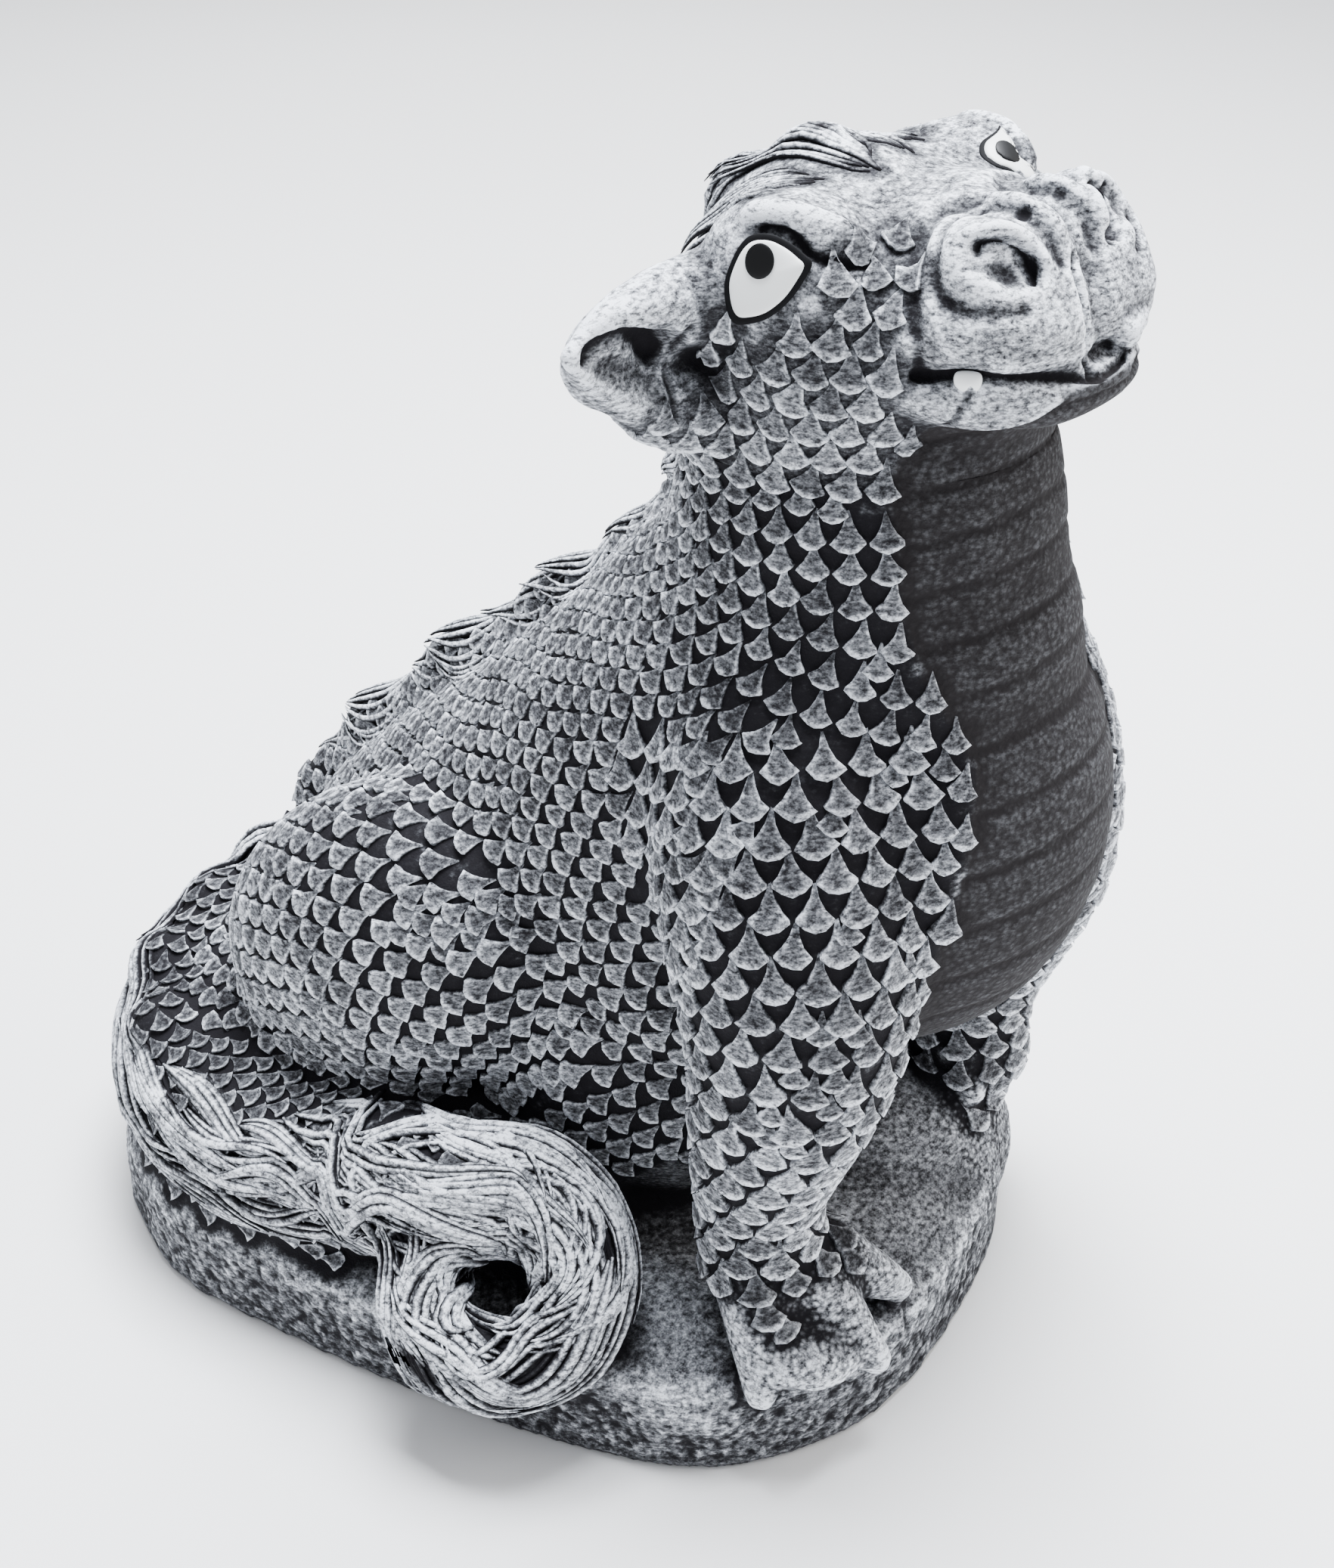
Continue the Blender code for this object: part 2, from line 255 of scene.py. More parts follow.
def cut_level(bm, height, keep_above, seam=False):
    """Cuts at a height and closes the cut. A seam's rim is sharp, so its end face doesn't shade."""
    whole = bm.verts[:] + bm.edges[:] + bm.faces[:]
    cut = bmesh.ops.bisect_plane(
        bm, geom=whole, dist=1e-7, plane_co=(0, 0, height), plane_no=(0, 0, 1),
        clear_inner=keep_above, clear_outer=not keep_above,
    )
    rim = [edge for edge in cut["geom_cut"] if isinstance(edge, bmesh.types.BMEdge)]
    caps = bmesh.ops.holes_fill(bm, edges=rim)["faces"]
    bmesh.ops.triangulate(bm, faces=caps)
    if seam:
        for edge in rim:
            if edge.is_valid:
                edge.smooth = False


def worked_skin(name, low, high, voxel, passes):
    """The casting between two drawn heights as an even, sponged skin."""
    bm = bmesh.new()
    bm.from_mesh(casting.data)
    bmesh.ops.remove_doubles(bm, verts=bm.verts, dist=1e-6)
    if low is not None:
        cut_level(bm, (low - 8) * MM, True)
    if high is not None:
        cut_level(bm, (high + 8) * MM, False)
    rough = new_object("rough", bm)
    wrap = rough.modifiers.new("even skin", "REMESH")
    wrap.mode = "VOXEL"
    wrap.voxel_size = voxel * MM
    sponge = rough.modifiers.new("sponge", "SMOOTH")
    sponge.factor = 0.5
    sponge.iterations = passes
    graph = bpy.context.evaluated_depsgraph_get()
    mesh = bpy.data.meshes.new_from_object(rough.evaluated_get(graph))
    bpy.data.objects.remove(rough)
    obj = bpy.data.objects.new(name, mesh)
    bpy.context.scene.collection.objects.link(obj)
    return obj


def points_of(mesh):
    """The places of a mesh's points, in metres, as an array."""
    points = np.empty(len(mesh.vertices) * 3, np.float32)
    mesh.vertices.foreach_get("co", points)
    return points.reshape(-1, 3).astype(float)


def set_points(mesh, points):
    mesh.vertices.foreach_set("co", keep_in_box(points).astype(np.float32).ravel())
    mesh.update()


def normals_of(mesh):
    normals = np.empty(len(mesh.vertices) * 3, np.float32)
    mesh.vertex_normals.foreach_get("vector", normals)
    return normals.reshape(-1, 3).astype(float)


def averaged(mesh, values, rounds):
    """Values at the points of a mesh, averaged with their neighbours some times over."""
    ends = np.empty(len(mesh.edges) * 2, np.int32)
    mesh.edges.foreach_get("vertices", ends)
    a, b = ends.reshape(-1, 2).T
    count = np.bincount(a, minlength=len(values)) + np.bincount(b, minlength=len(values)) + 1.0
    values = values.reshape(len(values), -1)
    for _ in range(rounds):
        summed = [
            np.bincount(a, column[b], len(values)) + np.bincount(b, column[a], len(values)) + column
            for column in values.T
        ]
        values = np.stack(summed, 1) / count[:, None]
    return values


def even_out(mesh, rounds):
    """Smooths out facets without shrinking the form: each round presses in and then lets out."""
    points = points_of(mesh)
    for _ in range(rounds):
        points += 0.60 * (averaged(mesh, points, 1) - points)
        points -= 0.63 * (averaged(mesh, points, 1) - points)
    set_points(mesh, points)


NECK_CUT = 318
LEG_CUT = 74
head_skin = worked_skin("head_skin", NECK_CUT, None, 1.15, 5)
even_out(head_skin.data, 45)
trunk_skin = worked_skin("trunk_skin", LEG_CUT, NECK_CUT, 2.05, 14)
base_skin = worked_skin("base_skin", None, LEG_CUT, 1.75, 10)
for skin in (head_skin, trunk_skin, base_skin):
    print(skin.name, len(skin.data.polygons), "faces")

# %% [markdown]
# ## Lines drawn in the clay
#
# The lids, the curled nostrils, the lips and the folds were drawn into the soft original with a
# modelling tool. Each is a line in space: the nearest skin is pressed in beside it, deepest in the
# middle. A negative depth pushes the skin out instead, as a finger rolls up a ridge.

# %% Modelling tool


def draw_line(mesh, line, width, depth):
    """Presses a groove along a drawn line into the skin nearest to it, in millimetres."""
    points, normals = drawn(points_of(mesh)), normals_of(mesh)
    line = smooth_line(line, 10)
    reach = np.linalg.norm(line - line.mean(0), axis=1).max() + 14
    near = np.flatnonzero(np.linalg.norm(points - line.mean(0), axis=1) < reach)
    gaps = np.linalg.norm(points[near, None] - line[None], axis=2)
    line = points[near][gaps.argmin(0)]
    for _ in range(12):
        line[1:-1] = (line[:-2] + 2 * line[1:-1] + line[2:]) / 4
    gaps = np.linalg.norm(points[near, None] - line[None], axis=2).min(1)
    press = depth * (1 - np.clip(gaps / width, 0, 1) ** 2) ** 2.0
    points[near] -= normals[near] * press[:, None]
    set_points(mesh, real(points))


EYE = [
    (-57.4, -70, 381), (-56.3, -74, 381.5), (-55.5, -78, 380.3), (-55.1, -81.5, 378.4), (-55.1, -83.5, 376.8),
    (-56.4, -82.5, 373.4), (-58.5, -80, 368.6), (-60.8, -76, 364.7), (-62.5, -71.3, 363), (-63, -68.8, 363.4),
    (-62.7, -67, 366.2), (-61.7, -65.8, 370.6), (-60.3, -66.3, 374.8), (-58.7, -67.7, 378.8),
]
# The muzzle is turned a little to its right, so its middle lies here.
MUZZLE_MIDDLE = -4.5
# Each line with its width and how deep it is pressed in. The groove round the eye is on the right
# side only, because the left eye lies elsewhere.
EYE_GROOVE = ([*EYE, EYE[0]], 2.2, 0.8)
LID_LINES = [
    (
        [(-56, -70, 382.5), (-54.5, -77, 382.5), (-53, -83.5, 379), (-49, -89, 377), (-44, -95, 377.5)],
        2.0, 1.7,
    ),
    ([(-54, -64, 387), (-51, -73, 389), (-47, -83, 387), (-42, -92, 383)], 5, -1.0),
    ([(-50, -92, 371), (-46, -97, 372), (-43, -101, 375)], 3.5, 0.9),
    ([(-64, -58, 374), (-65, -60, 364), (-65, -68, 357), (-62, -78, 358)], 3, 0.7),
]
MUZZLE_LINES = [
    # The crease round the whole bulb, and the one round the nostril inside it.
    (
        [
            (-12, -105, 387), (-19, -100.5, 385), (-29, -100.5, 380.5), (-39, -104, 373),
            (-44, -108.5, 365.5), (-47, -115, 359),
        ],
        4.5, 1.6,
    ),
    (
        [
            (-14, -118, 387), (-14, -109, 386), (-23, -105, 385.5), (-34, -107.5, 381), (-39, -110, 374),
            (-40.5, -116, 369.5), (-39, -125, 369), (-32, -131, 368.5),
        ],
        3.2, 1.5,
    ),
    # The lid over the nostril, and the half moon under it.
    ([(-33, -115, 386), (-27.5, -120.5, 387), (-20, -124, 383), (-19.5, -129, 378)], 4.0, -1.6),
    ([(-36, -120, 380), (-31, -124.5, 378), (-27, -127, 376.5)], 6.0, 2.6),
    ([(-34, -119.8, 383), (-29, -123, 382.8), (-25.5, -127, 380), (-25, -130, 376)], 3.4, 4.2),
    ([(-14, -119, 387), (-13.8, -127, 383), (-12.5, -131, 376)], 3.6, 1.6),
    ([(-43.5, -108.7, 362), (-47, -111, 358), (-45, -111, 353), (-42, -110.5, 351)], 2.6, 1.0),
    ([(-39, -122, 348), (-39, -119, 343), (-37, -115, 339)], 1.8, 1.1),
]
EAR_LINES = [
    ([(-97, -52, 359), (-87, -52, 360), (-78, -51, 357), (-71, -49, 352)], 4.5, 2.6),
    ([(-92, -52, 353), (-83, -53, 349), (-76, -53, 345)], 7, 1.6),
    ([(-90, -51, 366), (-80, -51, 366), (-70, -51, 364)], 2.5, 0.6),
    ([(-66, -55, 360), (-67, -54, 350), (-69, -54, 340), (-70, -53, 330)], 2.2, 1.2),
]
MIDDLE_LINES = [
    (
        [(-7, -131, 375.5), (-10.2, -134, 372), (-11.5, -138, 365.5), (-12, -139.6, 360), (-10, -141, 350)],
        2.2, 4.2,
    ),
    (
        [
            (-43.5, -108.7, 350.6), (-40.2, -113, 350.6), (-37.6, -123, 352.8), (-29.5, -132, 351.5),
            (-18, -137, 349), (-11, -141.8, 349.2), (1, -142.6, 350), (20, -138, 349.5), (30, -132, 350),
        ],
        2.2, 2.4,
    ),
    ([(-37, -128, 357), (-28, -134, 355.5), (-16, -139, 354.5), (4, -141, 355), (16, -138, 356)], 4.5, -1.2),
    ([(21.4, -122.6, 384.3), (19.7, -125.7, 381), (16.6, -128.2, 378.2), (11, -130.5, 377)], 3.6, 3.0),
    ([(6, -140, 354), (18, -137, 355), (28, -131, 356), (35, -122, 357)], 6, -2.2),
    ([(8, -142, 344), (20, -138, 345), (30, -131, 346), (37, -121, 348)], 6, 2.2),
]
# The muzzle is sponged once more, so that only these lines show on it.
points = drawn(points_of(head_skin.data))
snout = between(-points[:, 1], 94, 104)[:, None]
soft = drawn(averaged(head_skin.data, points_of(head_skin.data), 30))
set_points(head_skin.data, real(points + (soft - points) * snout))
draw_line(head_skin.data, *EYE_GROOVE)
for line, width, depth in LID_LINES + EAR_LINES:
    for side in (1, -1):
        draw_line(head_skin.data, [(side * x, y, z) for x, y, z in line], width, depth)
for line, width, depth in MUZZLE_LINES:
    for side in (1, -1):
        turned = [(MUZZLE_MIDDLE + side * (x - MUZZLE_MIDDLE), y, z) for x, y, z in line]
        draw_line(head_skin.data, turned, width, depth)
for line, width, depth in MIDDLE_LINES:
    draw_line(head_skin.data, line, width, depth)
even_out(head_skin.data, 4)
print("lines drawn on the head:", 1 + 2 * len(LID_LINES + EAR_LINES + MUZZLE_LINES) + len(MIDDLE_LINES))

# %% [markdown]
# ## Grain, belly bands and rock
#
# The belly is smooth, with low bands across it like a snake's. The rock is rough all over. Both are
# real relief here: each point of the skin moves in or out a little by a noise or a wave.

# %% Soft edges between regions
# Drawn height, and how far from the middle the smooth throat and belly reach.
BELLY_EDGE = [
    (345, 22), (337, 33), (331, 36), (319, 41), (303, 42), (290, 42.5), (266, 41), (253, 37), (242, 34),
    (225, 40), (205, 45), (183, 48), (161, 50), (140, 44), (120, 38), (90, 40), (60, 40),
]


def belly_share(points):
    """1 on the smooth throat and belly, 0 on the scaled flanks, for drawn points."""
    heights, reaches = zip(*reversed(BELLY_EDGE))
    edge = np.interp(points[:, 2], heights, reaches)
    near = np.interp(points[:, 2], (100, 180, 250, 330), (15, 28, 48, 58))
    front = between(-points[:, 1], near, near + 14) * between(points[:, 2], 62, 76)
    chin = 1 - between(points[:, 2] + 0.35 * points[:, 1], 296, 300)
    return (1 - between(np.abs(points[:, 0]), edge - 1.5, edge + 1.5)) * front * chin


def rough(points, size, octaves=4):
    """A fractal noise of that size in millimetres, about -1 to 1, for drawn points."""
    return np.array([noise.fractal(Vector(p / size), 0.9, 2.1, octaves) for p in points])


print("the belly is at most", 2 * max(reach for _, reach in BELLY_EDGE), "mm wide")

# %% Belly bands
BAND_DEPTH = 0.9
BELLY_SUNK = 0.9


def press_belly(mesh):
    """Sinks the belly below the scales' skin, and presses the bands into it."""
    points, normals = drawn(points_of(mesh)), normals_of(mesh)
    share = belly_share(points)
    # The bands sag in the middle, and are wider low on the belly than at the throat.
    height = points[:, 2] + 0.0022 * points[:, 0] ** 2
    wave = (height / (19 + (330 - height) * 0.03)) % 1
    groove = np.exp(-(((wave - 0.5) / 0.09) ** 2))
    press = share * (BAND_DEPTH * groove + BELLY_SUNK)
    points -= normals * press[:, None]
    set_points(mesh, real(points))


press_belly(trunk_skin.data)
press_belly(head_skin.data)
print("belly bands pressed")

# %% Rock grain
# Sizes of the rock's lumps and of its grit, and how far each moves the skin.
LUMP_MM, GRIT_MM, ROCK_RELIEF = 15, 3.2, 0.6


def rock_share(points):
    """1 on the bare rock, by height and by how far out it is, for drawn points."""
    x, y, z = points.T
    slab = 1 - between(z, 30, 37)
    off_foot = between(np.hypot(x + 66, y + 103), 36, 44)
    front = between(-y, 20, 45) * (1 - between(z, 56, 66)) * (1 - off_foot)
    return np.clip(np.maximum(slab, front * between(x, -45, -20)), 0, 1)


base_points, base_normals = drawn(points_of(base_skin.data)), normals_of(base_skin.data)
base_rock = rock_share(base_points)
grain = np.zeros(len(base_points))
bare = np.flatnonzero((base_rock > 0) & (base_points[:, 2] > 1.5))
lumps, grit = rough(base_points[bare], LUMP_MM), rough(base_points[bare], GRIT_MM, 3)
grain[bare] = ROCK_RELIEF * lumps + ROCK_RELIEF * grit
grain = np.minimum(grain, ROCK_RELIEF) * base_rock * between(base_points[:, 2], 1.5, 6)
base_points += base_normals * (grain - 0.5 * (base_points[:, 2] > 3))[:, None]
set_points(base_skin.data, real(base_points))
print("rock points roughened:", len(bare))

# %% [markdown]
# ## Where the dry brush catches, and where light is painted
#
# Each point of a skin carries one attribute for the pale paint: 0 in the hollows, where only the dark stain
# is, and 1 on the edges that the brush drags over. It is worked out from the shape itself, by how far
# a point stands out of the skin averaged around it. Painted light is added to it as well: the faces
# that look up get a little more of the pale paint, as if lit from above.

# %% Standing out


def mark(mesh, name, values):
    """Stores one number a point as an attribute."""
    layer = mesh.attributes.get(name) or mesh.attributes.new(name, "FLOAT", "POINT")
    layer.data.foreach_set("value", np.asarray(values, np.float32))


def mark_brush_and_light(mesh, brush_and_light):
    """Marks a piece that lies on the skin: its share of pale paint, from brush wear and painted light
    together, with no belly and no net.
    """
    mark(mesh, "brush_and_light", np.clip(brush_and_light, 0, 1))
    for name in ("belly", "net"):
        mark(mesh, name, np.zeros(len(brush_and_light)))


def mark_skin(obj, fine, scale, plain, spread):
    """Marks a skin's share of pale paint, from brush wear and painted light from above, and where it is belly
    or finely netted.
    """
    mesh = obj.data
    points, normals = points_of(mesh), normals_of(mesh)
    stand = ((points - averaged(mesh, points, fine)) * normals).sum(1) / MM
    wide = ((points - averaged(mesh, points, fine * 8)) * normals).sum(1) / MM
    brush_and_light = plain + spread * np.clip(stand / scale, -1, 1) + 0.3 * np.clip(wide / (4 * scale), -1, 1)
    # Painted light from above: the faces that look up get a little more of the pale paint.
    brush_and_light += 0.12 * normals[:, 2]
    # Within 6 mm of the floor the pale paint thins, so the skin is darker towards the bottom.
    brush_and_light *= 0.3 + 0.7 * between(points[:, 2] / MM, 0.5, 6)
    mark(mesh, "brush_and_light", np.clip(brush_and_light, 0, 1))
    belly = belly_share(drawn(points))
    mark(mesh, "belly", belly)
    x, y, z = drawn(points).T
    off_foot = between(np.hypot(np.abs(x) - 66, y + 103), 30, 40)
    foot = between(-y, 84, 92) * (1 - off_foot) * (1 - between(z, 62, 74))
    mark(mesh, "net", np.maximum(foot * (1 - rock_share(drawn(points))), belly))
    for polygon in mesh.polygons:
        polygon.use_smooth = True


# %% Finished skins


def trim_skin(obj, low, high):
    """Cuts a skin level at its seams."""
    bm = bmesh.new()
    bm.from_mesh(obj.data)
    if low is not None:
        cut_level(bm, low * MM, True, seam=True)
    if high is not None:
        cut_level(bm, high * MM, False, seam=True)
    bm.to_mesh(obj.data)
    bm.free()


mark_skin(head_skin, 6, 0.8, 0.5, 0.5)
mark_skin(trunk_skin, 3, 0.5, 0.35, 0.4)
mark_skin(base_skin, 3, 0.5, 0.34, 0.42)
trim_skin(head_skin, NECK_CUT, None)
trim_skin(trunk_skin, LEG_CUT, NECK_CUT)
trim_skin(base_skin, None, LEG_CUT)
# One tree of all the outer faces finds the nearest skin, or where a ray comes out of it.
tree_points, tree_faces = [], []
for skin in (head_skin, trunk_skin, base_skin):
    first = len(tree_points)
    tree_points += [vert.co.copy() for vert in skin.data.vertices]
    for polygon in skin.data.polygons:
        flat, height = abs(polygon.normal.z) > 0.999, polygon.center.z / MM
        if not (flat and min(abs(height - NECK_CUT), abs(height - LEG_CUT)) < 0.01):
            tree_faces.append([first + i for i in polygon.vertices])
surface = BVHTree.FromPolygons(tree_points, tree_faces)
print("skins cut at", NECK_CUT, "and", LEG_CUT, "mm")

# %% [markdown]
# ## The scale stamp
#
# Every scale is the same small form: a thin ridge at the top that flares to a round lobe with a
# raised lip, like a ginkgo leaf. One is modelled from a grid, given a rim that sinks into the skin,
# and closed. It is then stamped thousands of times, each copy bent to the skin under it.

# %% One scale
# For each row of the leaf, from its stem to its lip: how far down it is, and half its width.
LEAF_ROWS = [(-0.72, 0.03), (-0.36, 0.12), (-0.05, 0.27), (0.15, 0.45), (0.20, 0.47)]
# How high each row stands at its edge and at its middle.
LEAF_HEIGHTS = [(0.05, 0.1), (0.42, 0.5), (0.55, 0.52), (0.78, 0.62), (1.0, 0.95)]

leaf = bmesh.new()
bmesh.ops.create_grid(leaf, x_segments=4, y_segments=4, size=1)
for vert in leaf.verts:
    row = round((1 - vert.co.y) * 2)
    across = vert.co.x
    down, half = LEAF_ROWS[row]
    edge, middle = LEAF_HEIGHTS[row]
    if row == 4:
        down += 0.29 * (1 - across**2)
    if row == 3:
        down += 0.13 * (1 - across**2)
    ridge = 1 - abs(across) ** 1.5
    vert.co = (across * half, down, edge + (middle - edge) * ridge)
rim = [edge for edge in leaf.edges if edge.is_boundary]
skirt = bmesh.ops.extrude_edge_only(leaf, edges=rim)["geom"]
for vert in [item for item in skirt if isinstance(item, bmesh.types.BMVert)]:
    vert.co.x *= 0.93
    vert.co.y = vert.co.y * 0.88 - 0.03
    vert.co.z = -0.4
bmesh.ops.holes_fill(leaf, edges=[edge for edge in leaf.edges if edge.is_boundary])
bmesh.ops.recalc_face_normals(leaf, faces=leaf.faces)
leaf.verts.index_update()
LEAF_POINTS = np.array([vert.co for vert in leaf.verts])
# The stamp lays the leaf down as in a mirror, so its faces are listed the other way round.
LEAF_FACES = [[vert.index for vert in reversed(face.verts)] for face in leaf.faces]
LEAF_SUNK = LEAF_POINTS[:, 2] < 0
LEAF_EDGE = np.array(
    [any(edge.other_vert(vert).co.z < 0 for edge in vert.link_edges) for vert in leaf.verts]
)
leaf.free()
# The lip and the sides catch the brush, the middle half, and the sunk rim not at all.
LEAF_WORN = np.where(LEAF_EDGE, 0.76 + 0.46 * LEAF_POINTS[:, 2], 0.52)
LEAF_WORN[LEAF_SUNK] = 0.0
print("a scale has", len(LEAF_POINTS), "points and", len(LEAF_FACES), "faces")

# %% [markdown]
# ## Rows of scales
#
# Scales lie in rows across the way they point, each row shifted by half a scale. So a line is laid
# through the middle of each limb, a ring of rays is shot from it towards the skin at every row, and
# the places are stepped off along the ring, from the back to both sides.

# %% Row by row


def measured(spine):
    """A soft line through a spine's places, and how far along it each of its points is."""
    line = smooth_line(spine, 12)
    return line, np.r_[0, np.cumsum(np.linalg.norm(np.diff(line, axis=0), axis=1))]


def point_at(line, gone, distance):
    """The point of a measured line at a distance along it."""
    return np.array([np.interp(distance, gone, line[:, k]) for k in range(3)])


def ring(centre, forward, back, reach, rays=140):
    """Where rays from a centre, all square to forward, come out of the skin, from the back round."""
    side = np.cross(forward, back)
    found = []
    for turn in np.linspace(-math.pi, math.pi, rays, endpoint=False):
        way = math.cos(turn) * back + math.sin(turn) * side
        start = Vector(real(centre))
        spot, _, _, _ = surface.ray_cast(start, Vector(way), reach * MM)
        found.append(None if spot is None else drawn(spot))
    return found


def step_off(spots, gap, shift):
    """Places every gap along a ring, both ways from its middle."""
    places = []
    middle = len(spots) // 2
    for order in (range(middle, len(spots)), range(middle, -1, -1)):
        order = list(order)
        gone, wanted = 0.0, shift
        for i, j in zip(order, order[1:]):
            if spots[i] is None or spots[j] is None:
                gone, wanted = 0.0, gap / 2
                continue
            step = np.linalg.norm(spots[j] - spots[i])
            if step > 3 * gap:
                continue
            while gone + step >= wanted:
                places.append(spots[i] + (spots[j] - spots[i]) * max(0, (wanted - gone) / step))
                wanted += gap
            gone += step
    return places


def rows_of_scales(spine, back, row, gap, reach, keep):
    """Places for scales all along a spine: (place, way it points) in drawn millimetres."""
    line, gone = measured(spine)
    found = []
    for number, distance in enumerate(np.arange(0, gone[-1], row)):
        centre = point_at(line, gone, distance)
        forward = unit(point_at(line, gone, distance + 6) - point_at(line, gone, distance - 6))
        square = unit(back - forward * np.dot(back, forward))
        spots = ring(centre, forward, square, reach)
        for place in step_off(spots, gap, gap / 2 if number % 2 else 0.0):
            if keep(place):
                found.append((place, forward))
    return found


# %% The stamp
# The places that hold a scale, and the way that each points.
taken, ways = [], []
# A scale is left out where its middle would lie nearer than this share of its size to another's.
CROWDED = 0.6


def stamp(name, places, width, length, height, brush_and_light=1.0, seed=1):
    """Stamps scales at the places that are still free, as one piece."""
    draw = np.random.default_rng(seed)
    points, faces, marks = [], [], []
    for place, forward in places:
        near = np.array(taken).reshape(-1, 3)
        if len(near) and np.linalg.norm(near - place, axis=1).min() < CROWDED * min(width, length):
            continue
        spot, normal, _, _ = surface.find_nearest(Vector(real(place)))
        normal = np.array(normal)
        down = unit(forward - normal * np.dot(forward, normal))
        turn = draw.normal(0, 0.07)
        across = np.cross(normal, down)
        turned = down * math.cos(turn) + across * math.sin(turn)
        down, across = turned, across * math.cos(turn) - down * math.sin(turn)
        size = 1 + draw.normal(0, 0.035)
        start = len(points)
        for x, y, z in LEAF_POINTS + draw.normal(0, 0.014, LEAF_POINTS.shape) * (1, 1, 0):
            flat = Vector(np.array(spot) + (across * x * width + down * y * length) * size * MM)
            foot, out, _, _ = surface.find_nearest(flat)
            points.append(foot + out * (z * height * MM))
        taken.append(place)
        ways.append(forward)
        faces += [[start + i for i in face] for face in LEAF_FACES]
        marks.append(LEAF_WORN * brush_and_light * (0.8 + 0.4 * draw.random()))
    mesh = bpy.data.meshes.new(name)
    mesh.from_pydata(keep_in_box(np.array(points)), [], faces)
    obj = bpy.data.objects.new(name, mesh)
    bpy.context.scene.collection.objects.link(obj)
    for polygon in mesh.polygons:
        polygon.use_smooth = True
    # Painted shading by facing, not brush wear: the faces that look down get a little more of the pale paint,
    # and the faces that look up a little less.
    mark_brush_and_light(mesh, np.concatenate(marks) * (0.84 - 0.28 * normals_of(mesh)[:, 2]))
    print(name, len(marks), "scales,", len(mesh.polygons), "faces")
    return obj


# %% Where each region of scales lies


def off_belly(p):
    return belly_share(np.array([p]))[0] < 0.5


def on_haunch(p):
    """Inside an oval ball around the haunch of either side."""
    middle, radii = (-72, 58, 122), (46, 80, 62)
    return sum(((a - b) / r) ** 2 for a, b, r in zip((-abs(p[0]), p[1], p[2]), middle, radii)) < 1.0


def scaled(p):
    """Off the belly, and not under the mane, where the hair hides the skin."""
    return off_belly(p) and not (abs(p[0]) < 6 and p[1] > -40)


HAUNCH_SPINE = [(-60, -30, 176), (-66, 20, 150), (-70, 60, 118), (-74, 104, 78), (-76, 126, 60)]
LEG_SPINE = [
    (-46, -74, 236), (-58, -86, 186), (-66, -92, 148), (-68, -88, 114), (-66, -86, 86), (-65, -88, 58),
    (-66, -96, 42),
]
TRUNK_SPINE = [
    (0, -66, 344), (0, -70, 308), (0, -68, 272), (0, -50, 226), (0, -8, 168), (0, 44, 116), (0, 96, 84),
    (0, 138, 66),
]
TAIL_SPINE = [(-36, 150, 62), (-72, 152, 56), (-98, 132, 54), (-112, 104, 53), (-113, 70, 54), (-108, 38, 58)]


def mirrored(points):
    return [(-x, y, z) for x, y, z in points]


sparse = np.random.default_rng(8)


def on_leg(p):
    """On the leg, or one of the few places on the foot that have a scale."""
    x, y, z = abs(p[0]), p[1], p[2]
    on_foot = 44 < z <= 62 and y < -98 and math.hypot(x - 66, y + 103) < 24 and sparse.random() < 0.45
    return x > 30 and off_belly(p) and (z > 62 or on_foot)


# %% Lay the rows
haunch_places, leg_places = [], []
for side in (1, -1):
    spine = HAUNCH_SPINE if side > 0 else mirrored(HAUNCH_SPINE)
    haunch_places += rows_of_scales(
        spine, np.array((-0.6 * side, 0.3, 0.7)), 8.6, 10.4, 78,
        lambda p: on_haunch(p) and -side * p[0] > 42 and p[2] > 66,
    )
    spine = LEG_SPINE if side > 0 else mirrored(LEG_SPINE)
    leg_places += rows_of_scales(
        spine, np.array((-side * 1.0, 0.1, 0.0)), 9.8, 11.9, 52,
        lambda p: -side * p[0] > 0 and on_leg(p),
    )
trunk_places = rows_of_scales(
    TRUNK_SPINE, np.array((0, 1.0, 0.6)), 7.9, 9.6, 110,
    lambda p: scaled(p) and 62 < p[2] < 330,
)
tail_places = rows_of_scales(
    TAIL_SPINE, np.array((0, 0, 1.0)), 7.0, 9.0, 44, lambda p: p[2] > 36 and p[0] < -20,
)

# %% Rows on the cheeks
# Here the rows are laid on a flat sheet beside the head, and pressed onto it.
CHEEK_ROW, CHEEK_GAP = 7.7, 9.3

cheek_places = []
for side in (1, -1):
    way = unit((0.86 * side, 0.46, -0.16))
    level = unit(np.cross((0, 0, 1), way))
    rise = np.cross(way, level)
    for row in range(-9, 10):
        for column in range(-9, 10):
            spot = np.array((-50 * side, -84, 350)) + rise * row * CHEEK_ROW
            spot = spot + level * (column + row % 2 / 2) * CHEEK_GAP
            hit, _, _, _ = surface.ray_cast(Vector(real(spot - way * 60)), Vector(way), 0.1)
            if hit is None:
                continue
            x, y, z = drawn(hit)
            muzzle = np.interp(z, (340, 354, 364, 372, 380), (-106, -108, -107, -104, -100))
            under_brow = 312 < z < 382 - max(0, -y - 88) * 0.1
            behind_muzzle = muzzle < y < -52 - 0.2 * max(0, z - 335)
            off_eye = math.hypot(y + 74, z - 372) > 15 and (z < 362 or y < -88)
            if under_brow and behind_muzzle and off_eye and -side * x > 26 and off_belly((x, y, z)):
                cheek_places.append((np.array((x, y, z)), np.array((0, 0.2, -1.0))))
print("places:", len(haunch_places), len(leg_places), len(trunk_places), len(tail_places), len(cheek_places))

# %% Stamp them
SPOTS_TRIED = 9000


